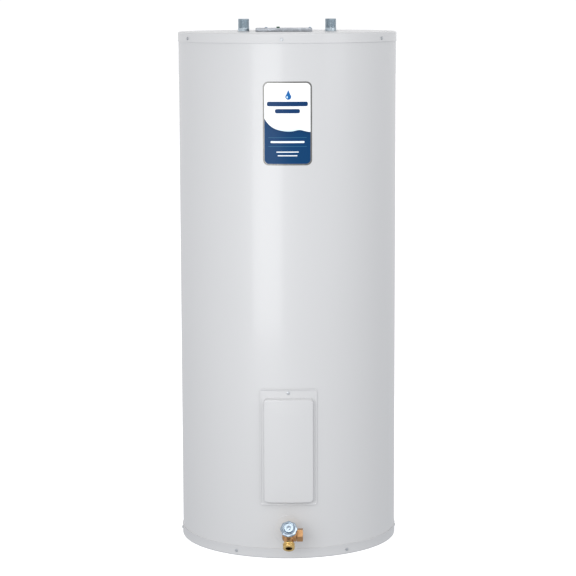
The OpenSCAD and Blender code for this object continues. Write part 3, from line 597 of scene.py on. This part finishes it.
panScrews = together(*lipScrews(*screwPlaces["top"]), *lipScrews(*screwPlaces["bottom"]))
keep(panScrews, "panScrews", "dullZinc", "heater", ["pan_screws"], sharp=30)
keep(frontwards(sheetScrew(), y=screwPlaces["y"], z=screwPlaces["panelZ"]), "accessPanelScrew",
     "dullZinc", "panel", ["access_panel_screw"], sharp=30)
print("screws done")


# access panel

panel = {"w": 131, "z0": 125, "z1": 395.5, "raisedW": 114, "raisedZ0": 131, "raisedZ1": 375,
         "corner": 11, "rise": 11.2, "wall": 4.2, "crown": 0.8, "hem": 1.0}


def makeAccessPanel():
    middle = (panel["raisedZ0"] + panel["raisedZ1"]) / 2
    raisedH = panel["raisedZ1"] - panel["raisedZ0"]
    halfW, halfH = panel["w"] / 2, raisedH / 2
    edgeX = panel["raisedW"] / 2
    # columns and rows stand close together only where the sheet bends
    fine, bend, low, high = 0.7, 13, panel["z0"] - middle, panel["z1"] - middle
    xs = spread((-halfW, -edgeX - 1, fine), (-edgeX - 1, -edgeX + bend, fine),
                (-edgeX + bend, edgeX - bend, 4), (edgeX - bend, edgeX + 1, fine),
                (edgeX + 1, halfW, fine))
    zs = spread((low, -halfH - 1, fine), (-halfH - 1, -halfH + bend, fine),
                (-halfH + bend, halfH - bend, 8), (halfH - bend, halfH + 1, fine),
                (halfH + 1, high - 5, 3), (high - 5, high, fine))
    flangeMiddle = (panel["z0"] + panel["z1"]) / 2 - middle
    sheet = sheetGrid(xs, zs)
    for vertex in sheet.data.vertices:
        x, z = vertex.co.x / mm, vertex.co.z / mm
        inside = -roundRectDistance(x, z, panel["raisedW"], raisedH, panel["corner"])
        height = panel["rise"] * softStep(inside / panel["wall"])
        height += panel["crown"] * softStep(inside / 40)
        # the flange's edge is folded back on itself
        rim = -roundRectDistance(x, z - flangeMiddle, panel["w"], panel["z1"] - panel["z0"], 5)
        height += panel["hem"] * (1 - softStep((rim - 2) / 1.4))
        vertex.co.y = -height * mm
    cleanUp(sheet)
    modify(sheet, "SOLIDIFY", thickness=0.8 * mm, offset=1)
    wrapOn(sheet, jacket["r"] + 0.35)
    settle(sheet, move=(0, 0, middle))
    outline = settle(roundBlock(panel["w"] - 0.6, panel["z1"] - panel["z0"] - 0.6, 5, depth=90),
                     move=(0, -200, (panel["z0"] + panel["z1"]) / 2))
    cut(sheet, outline, "INTERSECT")
    cut(sheet, frontwards(disc(1.9, 0, 20, 0.1), 0, -245, 387))
    return keep(sheet, "accessPanel", "whiteEnamel", "panel",
                ["access_panel"], sharp=40)


makeAccessPanel()
print("access panel done")


# pipe nipples

nipple = {"r": 13.2, "bore": 10.46, "z0": 1119, "z1": 1227, "threadZ0": 1205, "pitch": 1.814}


def makeNipple(x, name, node):
    r, bore, z0, z1 = nipple["r"], nipple["bore"], nipple["z0"], nipple["z1"]
    outline = [(bore, z0), (r, z0), (r, nipple["threadZ0"]),
               *threadRows(13.33, nipple["threadZ0"] + 0.5, z1 - 0.8, nipple["pitch"]),
               (12.6, z1), (bore + 0.5, z1), (bore, z1 - 0.6), (bore, z0)]
    pipe = turned(outline, 72)
    threadOn(pipe, nipple["threadZ0"], z1 - 0.2, nipple["pitch"], 0.95, 12)
    settle(pipe, move=(x, 0, 0))
    return keep(pipe, name, "pipeZinc", "heater", [node], sharp=50)


makeNipple(ports["x"], "coldNipple", "cold_nipple")
makeNipple(-ports["x"], "hotNipple", "hot_nipple")
print("nipples done")


# small parts on the top pan

def makeTopFittings():
    sealOutline = [(12.76, 1195), (15.94, 1195), (15.94, 1197.6), *arc(15.4, 1198.1, 0.5, 0, 90, 3),
                   (13.6, 1198.55), (12.76, 1197.9), (12.76, 1195)]
    seals = [settle(turned(sealOutline, 64), move=(x, 0, 0)) for x in (-ports["x"], ports["x"])]
    keep(together(*seals), "nippleSeals", "greyPlastic", "heater",
         ["nipple_seals"])
    # moulded cap over the anode's hexagon: a plug below and a thin domed flange above
    cap = turned([(0, 1184.2), (19.6, 1184.2), (20.3, 1184.9), (20.3, 1198.06), (23, 1198.06),
                  *arc(23.1, 1198.4, 0.35, -60, 90, 4), (21.4, 1199.1), (19.6, 1199.4),
                  (14, 1199.35), (13.2, 1198.9), (0, 1198.8)], 96)
    settle(cap, move=(0, ports["anodeY"], 0))
    keep(cap, "anodeCap", "creamPlastic", "heater", ["anode_cap"], sharp=40)


cover = {"w": 131, "depth": 105, "x": -7.5, "y": -22.5, "z0": 1198.1, "z1": 1206, "t": 1, "relief": 1.2}


def makeWiringCover():
    height = cover["z1"] - cover["z0"]
    place = (cover["x"], cover["y"], (cover["z0"] + cover["z1"]) / 2)
    lid = slab((cover["w"], cover["depth"], height), place, edge=1.1)
    wall = cover["t"]
    room = slab((cover["w"] - 2 * wall, cover["depth"] - 2 * wall, height),
                (place[0], place[1], place[2] - wall), edge=0.4)
    cut(lid, room)
    for x in (-1, 1):
        for y in (-1, 1):
            corner = (place[0] + x * cover["w"] / 2, place[1] + y * cover["depth"] / 2,
                      place[2] - 1.3)
            cut(lid, slab((cover["relief"], cover["relief"], height), corner, edge=0))
    cut(lid, settle(disc(11.1, -5, 5, 0.1), move=(2, -22.5, cover["z1"])))
    for x, y in ((-49, -22.5), (53, -22.5), (-21, -42.5)):
        cut(lid, settle(disc(1.9, -5, 5, 0.1, 24), move=(x, y, cover["z1"])))
    keep(lid, "wiringCover", "galvanised", "wiring_cover", ["junction_cover"],
         sharp=40)
    screws = [settle(sheetScrew(), move=(x, -22.5, 1206.1)) for x in (-49, 53)]
    keep(together(*screws), "wiringCoverScrews", "zincPlate", "wiring_cover",
         ["junction_cover_screws"])
    head = cut(hexBar(7, 0, 3.2, 0.6), slab((9, 1, 1.6), (0, 0, 3.2), edge=0))
    shank = turned([(0, -7), (1.2, -7), *threadRows(1.7, -6.6, -0.6, 0.9, 6), (1.5, 0), (0, 0)], 18)
    threadOn(shank, -6.8, -0.3, 0.9, 0.3, 1.2)
    keep(settle(together(head, shank), turn=(0, 0, 12), move=(-21, -42.5, 1206.1)), "groundScrew",
         "greenSteel", "wiring_cover", ["ground_screw"])


makeTopFittings()
makeWiringCover()
print("top fittings done")


# drain valve

drain = {"y": -302, "z": ports["drainZ"], "stem": 50, "outlet": 135, "sideX": 18.1, "voxel": 0.8}


def alongStem(piece):
    return settle(piece, turn=(drain["stem"], 0, 0), move=(0, drain["y"], drain["z"]))


def alongOutlet(piece):
    return settle(piece, turn=(drain["outlet"], 0, 0), move=(0, drain["y"], drain["z"]))


def castTogether(voxel, rounds, *solids):
    # a sand casting: the solids grow into one skin whose inner corners are filled and softened
    core = together(*solids)
    modify(core, "REMESH", mode="VOXEL", voxel_size=voxel * mm)
    modify(core, "SMOOTH", factor=0.6, iterations=rounds)
    return core


def pipeThread(y0, y1):
    pitch = nipple["pitch"]
    outline = [(6.5, y0), (13, y0), *threadRows(13.3, y0 + 0.4, y1 - 0.4, pitch, 6), (12.8, y1),
               (6.5, y1), (6.5, y0)]
    return threadOn(turned(outline, 48), y0, y1, pitch, 0.9, 12)


def makeDrainBody():
    y, z = drain["y"], drain["z"]
    barrel = turned([(0, -15), *arc(8, -8, 7, -90, 0, 7), (15, 16.5), (14, 18), (0, 18)], 64)
    sideways(barrel, 0, y, z)
    neck = frontwards(disc(12.2, 262, 292, 1), z=z)
    bonnet = alongStem(disc(12, 0, 16, 0.8))
    spout = alongOutlet(disc(11, 0, 25, 0.8))
    core = castTogether(drain["voxel"], 9, barrel, neck, bonnet, spout)
    cut(core, alongStem(disc(8.5, -5, 13, 0.1)))
    cut(core, alongStem(disc(6.1, 0, 30, 0.1)))
    cut(core, alongOutlet(disc(7.5, 0, 40, 0.1)))
    dressed(core, "castBrass")
    flats = dressed(frontwards(hexBar(30, 266, 277, 1.4), z=z), "turnedBrass")
    shank = frontwards(pipeThread(204, 266), z=z)
    bonnetTop = alongStem(ring(6.1, 12, 14, 21, 0.4))
    # the hose end: a collar behind a coarse thread, then a plain lip
    hose = turned([(7.5, 22), (11.5, 22), (12.9, 23), (13.45, 24.2), (13.45, 25.4),
                   *threadRows(13.45, 25.8, 34, 2.209, 8), (12.8, 34.4), (12.7, 35.7), (12.3, 36),
                   (8.1, 36), (7.5, 35.4), (7.5, 22)], 72)
    threadOn(hose, 25.4, 34.5, 2.209, 1.1, 12)
    body = together(core, flats, dressed(shank, "turnedBrass"), dressed(bonnetTop, "turnedBrass"),
                    dressed(alongOutlet(hose), "turnedBrass"))
    keep(body, "drainBody", None, "heater", ["drain_valve_body"], sharp=38)
    plug = sideways(hexBar(27, 0.2, 13.9, 1.1), drain["sideX"], y, z)
    spigot = sideways(disc(8.9, -8, 0.6, 0.3), drain["sideX"], y, z)
    keep(together(plug, spigot), "drainSidePlug", "castBrass", "heater",
         ["drain_side_plug"], sharp=38)


def makeDrainHandle():
    nut = cut(hexBar(28, 15, 26, 1.8), disc(4.1, 10, 30, 0.1, 48))
    cut(nut, disc(12.05, 14, 21.1, 0.1, 64))
    keep(alongStem(nut), "drainPackingNut", "zincPlate", "heater",
         ["drain_packing_nut"], sharp=38)
    stem = turned([(0, -1.8), (5.6, -1.8), (6, -1.4), (6, 13.6), (5.6, 14), (4, 14), (4, 34.6),
                   (3.6, 35), (0, 35)], 48)
    keep(alongStem(stem), "drainStem", "zincPlate", "drain_handle", ["drain_stem"],
         sharp=38)
    # die-cast wheel: a lobed rim, and a raised face with a ring-shaped recess
    lobes, swell, rim = 8, 0.85, 19.15
    outline = [(4, 28), (6.6, 28), (7.6, 29), (13.4, 29.6), (15.6, 28.6), (17.4, 28.4),
               *arc(17.4, 30.2, 1.75, -60, 0, 4), *arc(17.4, 31.7, 1.75, 0, 80, 5), (16, 33.5),
               (14.9, 33.7), (14.5, 34.3), *arc(14.05, 36.5, 0.45, 0, 90, 4), (13.5, 36.9),
               (13.1, 36.5), (12.9, 34.4), (12.4, 34), (11, 34), (10.6, 34.4), (10.4, 36.4),
               (9.9, 36.95), (4, 37), (4, 28)]
    wheel = turned(outline, 144)
    for vertex in wheel.data.vertices:
        x, y = vertex.co.x / mm, vertex.co.y / mm
        r = math.hypot(x, y)
        if r > 14.6:
            push = swell * min(1, (r - 14.6) / (rim - 14.6)) * math.cos(lobes * math.atan2(y, x))
            vertex.co.x *= (r + push) / r
            vertex.co.y *= (r + push) / r
    keep(alongStem(wheel), "drainHandwheel", "zincPlate", "drain_handle",
         ["drain_handwheel"], sharp=40)
    screw = turned([(0, 35.1), (3.8, 35.1), (3.8, 37.05), (5.2, 37.07), (5.48, 37.4), (5.3, 38),
                    (4.4, 38.6), (2.6, 38.98), (0, 39.05)], 48)
    cut(screw, slab((14, 1.2, 2.2), (0, 0, 39), edge=0))
    keep(alongStem(screw), "drainHandleScrew", "zincPlate", "drain_handle",
         ["drain_handle_screw"], sharp=38)


def makeEscutcheon(z, name, node, turnZ=0):
    # pressed ring that follows the jacket, with a rolled outer edge and a raised collar
    plate = turned([(13.9, 0.15), (34.2, 0.15), *arc(34.4, 0.45, 0.45, -60, 90, 4), (33.2, 0.8),
                    (24, 1.05), (16, 1.15), (14.4, 1.1), (13.9, 0.7), (13.9, 0.15)], 128)
    frontwards(plate)
    wrapOn(plate, jacket["r"])
    settle(plate, turn=(0, 0, turnZ), move=(0, 0, z))
    cleanUp(plate)
    keep(plate, name, "whiteEnamel", "heater", [node], sharp=30)


makeDrainBody()
makeDrainHandle()
makeEscutcheon(ports["drainZ"], "drainEscutcheon", "drain_escutcheon")
makeEscutcheon(ports["reliefZ"], "reliefEscutcheon", "relief_escutcheon", 180)
print("drain valve done")


# relief valve

relief = {"z": ports["reliefZ"], "dischargeY": 283.5, "voxel": 0.8, "pinY": 346}


def backwards(piece):
    return settle(piece, turn=(-90, 0, 0), move=(0, 0, relief["z"]))


def makeReliefBody():
    barrel = backwards(disc(17, 271, 300, 1.6))
    outlet = turned([(0, -39.6), (15.4, -39.6), (16, -39), (16, -22), (14.6, -19), (14.6, 0),
                     (0, 0)], 64)
    settle(outlet, move=(0, relief["dischargeY"], relief["z"]))
    core = castTogether(relief["voxel"], 8, barrel, outlet)
    cut(core, backwards(disc(12.5, 276, 320, 0.1)))
    cut(core, backwards(disc(6.5, 200, 290, 0.1)))
    cut(core, settle(disc(9, -60, 0, 0.1), move=(0, relief["dischargeY"], relief["z"])))
    thread = turned([(12.2, -60), (12.2, -22), (9, -20), (0, -20), (0, -60)], 64)
    cut(core, settle(thread, move=(0, relief["dischargeY"], relief["z"])))
    dressed(core, "castBrass")
    flats = cut(hexBar(32, 261, 273, 1.4), disc(6.5, 255, 280, 0.1))
    shank = pipeThread(204, 262)
    body = together(core, dressed(backwards(flats), "turnedBrass"),
                    dressed(backwards(shank), "turnedBrass"))
    keep(body, "reliefBody", None, "heater", ["relief_valve_body"], sharp=38)


def makeReliefTop():
    bonnet = turned([(10.5, 294), (12.2, 294), (12.4, 300.1), (15.5, 300.1), (16, 300.6), (16, 305.4),
                     (15.4, 306), (13.4, 306.2), (13, 306.8), (13, 318), (12.4, 318.4), (12.4, 319.6),
                     (13, 320), *arc(11.4, 336.4, 1.6, 0, 90, 6), (2.1, 338), (2.1, 334), (10.5, 334),
                     (10.5, 294)], 80)
    keep(backwards(bonnet), "reliefBonnet", "turnedBrass", "heater",
         ["relief_valve_bonnet"], sharp=38)
    plunger = turned([(0, 276.1), (9.2, 276.1), (9.5, 276.4), (9.5, 280.7), (9.1, 281.1), (2, 281.1),
                      (2, 350.6), (1.6, 351), (0, 351)], 48)
    keep(backwards(plunger), "reliefDisc", "turnedBrass", "relief_disc",
         ["relief_valve_disc"], sharp=38)
    pin = sideways(disc(1.25, -6.5, 6.5, 0.3, 32), 0, relief["pinY"], relief["z"])
    keep(pin, "reliefPin", "springSteel", "relief_disc", ["relief_lever_pin"])


def makeReliefLever():
    # one strip of steel whose forked end is folded round the pin
    strip = slab((14, 2, 46), (0, 2.5, 34), edge=0)
    tip = frontwards(disc(7, -1, 1, 0.1, 64), 0, 2.5, 50)
    cut(strip, tip, "UNION")
    cut(strip, slab((20, 4, 10), (0, 2.5, 61.9), edge=0))
    throat = slab((9.5, 2, 12), (0, 2.5, 14), edge=0)
    cut(strip, throat, "UNION")
    for side in (-1, 1):
        cut(strip, sideways(disc(5, -0.75, 0.75, 0.05, 48), side * 4), "UNION")
        cut(strip, slab((1.5, 5, 16), (side * 4, 1, 8), edge=0), "UNION")
    cut(strip, sideways(disc(1.32, -10, 10, 0.05, 32)))
    cut(strip, frontwards(disc(2.2, -10, 10, 0.05, 32), 0, 0, 50))
    modify(strip, "BEVEL", width=0.25 * mm, segments=2, limit_method="ANGLE",
           angle_limit=math.radians(50))
    settle(strip, move=(0, relief["pinY"], relief["z"]))
    keep(strip, "reliefLever", "zincPlate", "relief_lever",
         ["relief_valve_lever"], sharp=35)


makeReliefBody()
makeReliefTop()
makeReliefLever()
print("relief valve done")


# label

def makeRoundedMask():
    # soft-edged rounded rectangle, sizes in millimetres
    group, given, out = newGroup("roundedMask", [
        ("Across", "NodeSocketFloat", 0.0), ("Up", "NodeSocketFloat", 0.0),
        ("Middle Across", "NodeSocketFloat", 0.0), ("Middle Up", "NodeSocketFloat", 0.0),
        ("Half Width", "NodeSocketFloat", 10.0), ("Half Height", "NodeSocketFloat", 2.0),
        ("Corner", "NodeSocketFloat", 1.0)], [("Mask", "NodeSocketFloat")])
    beyond = []
    for place, middle, half in (("Across", "Middle Across", "Half Width"),
                                ("Up", "Middle Up", "Half Height")):
        offset = mathNode(group, "SUBTRACT", given.outputs[place], given.outputs[middle])
        offset = mathNode(group, "ABSOLUTE", offset)
        inner = mathNode(group, "SUBTRACT", given.outputs[half], given.outputs["Corner"])
        beyond.append(mathNode(group, "MAXIMUM", mathNode(group, "SUBTRACT", offset, inner), 0.0))
    squares = [mathNode(group, "MULTIPLY", value, value) for value in beyond]
    reach = mathNode(group, "SQRT", mathNode(group, "ADD", *squares))
    inside = mathNode(group, "SUBTRACT", given.outputs["Corner"], reach)
    group.links.new(mathNode(group, "MULTIPLY_ADD", inside, 3.0, 0.5, clamp=True), out.inputs["Mask"])
    return group


label = {"z": 997.5, "r": 254.25, "halfW": 55.3, "halfH": 93.5, "corner": 12.5, "border": 3.6}
inks = {"navy": (0.002, 0.042, 0.13), "deep": (0.001, 0.014, 0.05), "paper": (0.93, 0.94, 0.95),
        "glow": (0.52, 0.74, 0.86), "rule": (0.04, 0.16, 0.28), "pale": (0.80, 0.86, 0.92),
        "dark": (0.004, 0.036, 0.12), "drop": (0.01, 0.12, 0.36), "shine": (0.55, 0.75, 0.9),
        "foil": (0.17, 0.17, 0.165)}


def makeLabelPrint():
    material = bpy.data.materials.new("labelFilm")
    material.use_nodes = True
    tree = material.node_tree
    shader = tree.nodes["Principled BSDF"]
    place = tree.nodes.new("ShaderNodeTexCoord").outputs["Object"]
    split = tree.nodes.new("ShaderNodeSeparateXYZ")
    tree.links.new(place, split.inputs[0])

    def calc(operation, *values, clamp=False):
        return mathNode(tree, operation, *values, clamp=clamp)

    angle = calc("ARCTAN2", split.outputs["X"], calc("MULTIPLY", split.outputs["Y"], -1.0))
    across = calc("MULTIPLY", angle, label["r"])
    up = calc("MULTIPLY_ADD", split.outputs["Z"], 1000.0, -label["z"])
    roundedMask = makeRoundedMask()

    def bar(middleAcross, middleUp, halfWidth, halfHeight, corner):
        node = tree.nodes.new("ShaderNodeGroup")
        node.node_tree = roundedMask
        tree.links.new(across, node.inputs["Across"])
        tree.links.new(up, node.inputs["Up"])
        for key, value in (("Middle Across", middleAcross), ("Middle Up", middleUp),
                           ("Half Width", halfWidth), ("Half Height", halfHeight), ("Corner", corner)):
            node.inputs[key].default_value = value
        return node.outputs["Mask"]

    # the wave falls from the left, then swells once to the right of the middle
    fall = calc("EXPONENT", calc("MULTIPLY_ADD", across, -1 / 17, -54 / 17))
    swellPlace = calc("MULTIPLY_ADD", across, 1 / 14, -27 / 14)
    swell = calc("EXPONENT", calc("MULTIPLY", calc("MULTIPLY", swellPlace, swellPlace), -1.0))
    wave = calc("MULTIPLY_ADD", fall, 35.0, calc("MULTIPLY_ADD", swell, 4.5, -19.2))
    height = calc("SUBTRACT", up, wave)
    above = calc("MULTIPLY_ADD", height, 1.6, 0.5, clamp=True)
    # a glow over the wave's middle, and a darker edge under it
    fade = calc("EXPONENT", calc("MULTIPLY", calc("MAXIMUM", height, 0.0), -0.22))
    side = calc("MULTIPLY_ADD", across, 1 / 34, -5 / 34)
    middle = calc("EXPONENT", calc("MULTIPLY", calc("MULTIPLY", side, side), -1.0))
    over = mixNode(tree, calc("MULTIPLY", fade, middle), inks["paper"], inks["glow"])
    edge = calc("EXPONENT", calc("MULTIPLY", calc("MINIMUM", height, 0.0), 0.3))
    under = mixNode(tree, calc("MULTIPLY", edge, 0.6), inks["navy"], inks["deep"])
    colour = mixNode(tree, above, under, over)
    # a plain droplet and plain bars stand where a maker would print words
    bars = (("rule", (0, -31.4, 43, 0.35, 0.3)), ("rule", (0, -51.2, 43, 0.35, 0.3)),
            ("pale", (0, -41.2, 38, 2.1, 1.6)), ("pale", (0, -63.5, 25, 1.1, 0.9)),
            ("pale", (0, -71.7, 22, 1.1, 0.9)), ("dark", (0, 43.6, 46, 5.2, 4.2)),
            ("dark", (0, 27.6, 28, 4.8, 4.0)))
    for ink, values in bars:
        colour = mixNode(tree, bar(*values), colour, inks[ink])
    dropZ, dropR, dropX = 59.5, 6.6, 2.0
    dropUp = calc("MULTIPLY_ADD", up, 1 / 15, -dropZ / 15, clamp=True)
    dropWidth = calc("MULTIPLY", calc("POWER", calc("SUBTRACT", 1.0, dropUp), 0.9), dropR)
    away = calc("ABSOLUTE", calc("SUBTRACT", across, dropX))
    taper = calc("MULTIPLY_ADD", calc("SUBTRACT", dropWidth, away), 3.0, 0.5, clamp=True)
    taper = calc("MULTIPLY", taper, calc("GREATER_THAN", up, dropZ))
    drop = calc("MAXIMUM", taper, bar(dropX, dropZ, dropR, dropR, dropR))
    colour = mixNode(tree, drop, colour, inks["drop"])
    colour = mixNode(tree, bar(-0.6, 58.6, 1.5, 2.6, 1.5), colour, inks["shine"])
    # brushed foil round the edge
    grain = tree.nodes.new("ShaderNodeMapping")
    grain.inputs["Scale"].default_value = (1, 1, 0.08)
    tree.links.new(place, grain.inputs["Vector"])
    brush = noiseNode(tree, grain.outputs[0], 260, 4, 0.6)
    tone = tree.nodes.new("ShaderNodeVectorMath")
    tone.operation = "SCALE"
    tone.inputs[0].default_value = inks["foil"]
    tree.links.new(calc("MULTIPLY_ADD", brush, 0.9, 0.55), tone.inputs["Scale"])
    field = bar(0, 0, label["halfW"] - label["border"], label["halfH"] - label["border"],
                label["corner"] - label["border"] + 1)
    tree.links.new(mixNode(tree, field, tone.outputs[0], colour), shader.inputs["Base Color"])
    tree.links.new(calc("MULTIPLY_ADD", field, -0.55, 0.55), shader.inputs["Metallic"])
    tree.links.new(calc("MULTIPLY_ADD", brush, 0.1, 0.28), shader.inputs["Roughness"])
    shader.inputs["Specular IOR Level"].default_value = 0.12
    finishes["labelFilm"] = material


def makeLabel():
    makeLabelPrint()
    w, h = 2 * label["halfW"], 2 * label["halfH"]
    film = sheetGrid(spread((-w / 2, w / 2, 1.5)), spread((-h / 2, h / 2, 6)))
    modify(film, "SOLIDIFY", thickness=0.22 * mm, offset=1)
    cut(film, settle(roundBlock(w - 0.2, h - 0.2, label["corner"]), move=(0, 30, 0)), "INTERSECT")
    wrapOn(film, jacket["r"] + 0.02)
    settle(film, move=(0, 0, label["z"]))
    cleanUp(film)
    keep(film, "frontLabel", "labelFilm", "heater", ["front_label"])


makeLabel()
print("label done")


# behind the access panel

def makePad():
    # a batt of glass fibre, puffed between its pressed edges
    pad = {"w": 90, "z0": 145, "z1": 363, "back": -249.7, "front": 264.2}
    middle = (pad["z0"] + pad["z1"]) / 2
    h = pad["z1"] - pad["z0"]
    front = sheetGrid(spread((-pad["w"] / 2, pad["w"] / 2, 3)), spread((-h / 2, h / 2, 3)))
    modify(front, "SOLIDIFY", thickness=4 * mm, offset=0)
    for vertex in front.data.vertices:
        x, z = vertex.co.x / mm, vertex.co.z / mm
        edge = -roundRectDistance(x, z, pad["w"], h, 4)
        puff = 0.45 + 0.55 * softStep(edge / 12)
        puff += 0.05 * math.sin(x / 7.3 + z / 11) * math.sin(z / 9.1)
        skin = math.sqrt(pad["front"] ** 2 - x ** 2)
        depth = skin + pad["back"]
        facing = vertex.co.y < 0
        vertex.co.y = (pad["back"] - (depth * min(1, puff) if facing else 0)) * mm
    settle(front, move=(0, 0, middle))
    cleanUp(front)
    keep(front, "insulationPad", "glassFibre", "panel", ["panel_insulation_pad"],
         sharp=60)


controls = {"y": -228, "dialZ": 256, "button": (14, 0, 294), "elementZ": 175, "binding": 21}


def makeControls():
    guard = slab((70, 19.2, 124), (0, -237.6, 275), edge=2)
    cut(guard, slab((67.6, 19.2, 140), (0, -236.4, 275), edge=0))
    cut(guard, frontwards(disc(12.3, 230, 260, 0.1), z=controls["dialZ"]))
    cut(guard, frontwards(disc(5.4, 230, 260, 0.1), *controls["button"]))
    cut(guard, slab((60, 6, 30), (0, -228, 337), edge=0))
    keep(guard, "thermostatCover", "greyPlastic", "heater", ["thermostat_cover"])
    for name, node, z, h in (("thermostatBody", "thermostat_body", 252, 44),
                             ("limitControl", "limit_control", 298, 40)):
        block = slab((60, 20, h), (0, controls["y"], z), edge=1.2)
        for side in (-1, 1):
            screwZ = z - 14 if h > 40 else z + 12
            cut(block, slab((17, 3, 12), (side * controls["binding"], -237.6, screwZ), edge=0.4))
        if node == "thermostat_body":
            cut(block, frontwards(disc(3.1, 230, 260, 0.1), z=controls["dialZ"]))
        else:
            cut(block, frontwards(disc(4.8, 228, 260, 0.1), *controls["button"]))
        keep(block, name, "blackPlastic", "heater", [node])
    dialOutline = [(0, 231), (2.9, 231), (2.9, 238.1), (11, 238.1), (11.5, 238.5), (11.5, 243.6),
                   *arc(10.3, 243.9, 1.2, 0, 90, 4), (0, 245.1)]
    dial = frontwards(turned(dialOutline, 96), z=controls["dialZ"])
    for vertex in dial.data.vertices:
        x, z = vertex.co.x / mm, vertex.co.z / mm - 256
        r = math.hypot(x, z)
        if r > 11.3:
            push = 0.25 * (1 if round(math.degrees(math.atan2(z, x)) / 3.75) % 2 else 0)
            vertex.co.x -= push * x / r * mm
            vertex.co.z -= push * z / r * mm
    cut(dial, slab((14, 3, 2), (0, -244.8, 256), edge=0))
    keep(dial, "thermostatDial", "creamPlastic", "dial", ["thermostat_dial"])
    button = turned([(0, 234.6), (4.6, 234.6), (4.65, 245), *arc(3.4, 245.2, 1.2, 0, 90, 4),
                     (0, 246.45)], 48)
    keep(frontwards(button, *controls["button"]), "resetButton", "redPlastic",
         "reset", ["reset_button"])
    screws = []
    for side in (-1, 1):
        for x, y, z in ((9, 243.05, 175), (21, 238.05, 238), (21, 238.05, 310)):
            head = turned([(0, -4), (1.95, -4), (1.95, 0), (3.4, 0), (3.6, 0.3), (3.5, 1.3), (2.6, 2),
                           (0, 2.2)], 32)
            cut(head, slab((8, 0.9, 1.6), (0, 0, 2.4), edge=0))
            screws.append(frontwards(head, side * x, -y, z))
    keep(together(*screws), "terminalScrews", "turnedBrass", "heater",
         ["terminal_screws"])
    block = slab((34, 8.9, 20), (0, -238.5, 175), edge=1)
    cut(block, slab((1.6, 4, 24), (0, -243, 175), edge=0))
    for side in (-1, 1):
        cut(block, frontwards(disc(2.1, 236, 260, 0.1, 32), side * 9, 0, controls["elementZ"]))
    keep(block, "elementTerminals", "blackPlastic", "heater",
         ["element_terminal_block"])


makePad()
makeControls()
print("compartment done")


# plain finishes for the CAD nodes that stay

nodeFinishes = {
    "compartment_dam": "creamPlastic", "foam_insulation": "foam", "base_insulator": "glassFibre",
    "tank_shell": "blackSteel", "tank_top_head": "blackSteel", "tank_bottom_head": "blackSteel",
    "pipe_spuds": "blackSteel", "element_spud": "blackSteel", "heat_traps": "bluePlastic",
    "cold_dip_tube": "creamPlastic", "anode_rod": "magnesium", "anode_core": "springSteel",
    "anode_plug": "zincPlate", "relief_valve_probe": "copper", "relief_valve_spring": "springSteel",
    "drain_washer": "blackRubber", "heating_element": "elementAlloy", "element_gasket": "blackRubber",
    "thermostat_bracket": "galvanised", "conduit_tube": "orangePlastic", "black_lead": "blackWire",
    "red_lead": "redWire", "element_leads": "blueWire", "junction_box": "galvanised",
}
for nodeName, finishName in nodeFinishes.items():
    dressed(nodes[nodeName], finishName)

print("all pieces ready")
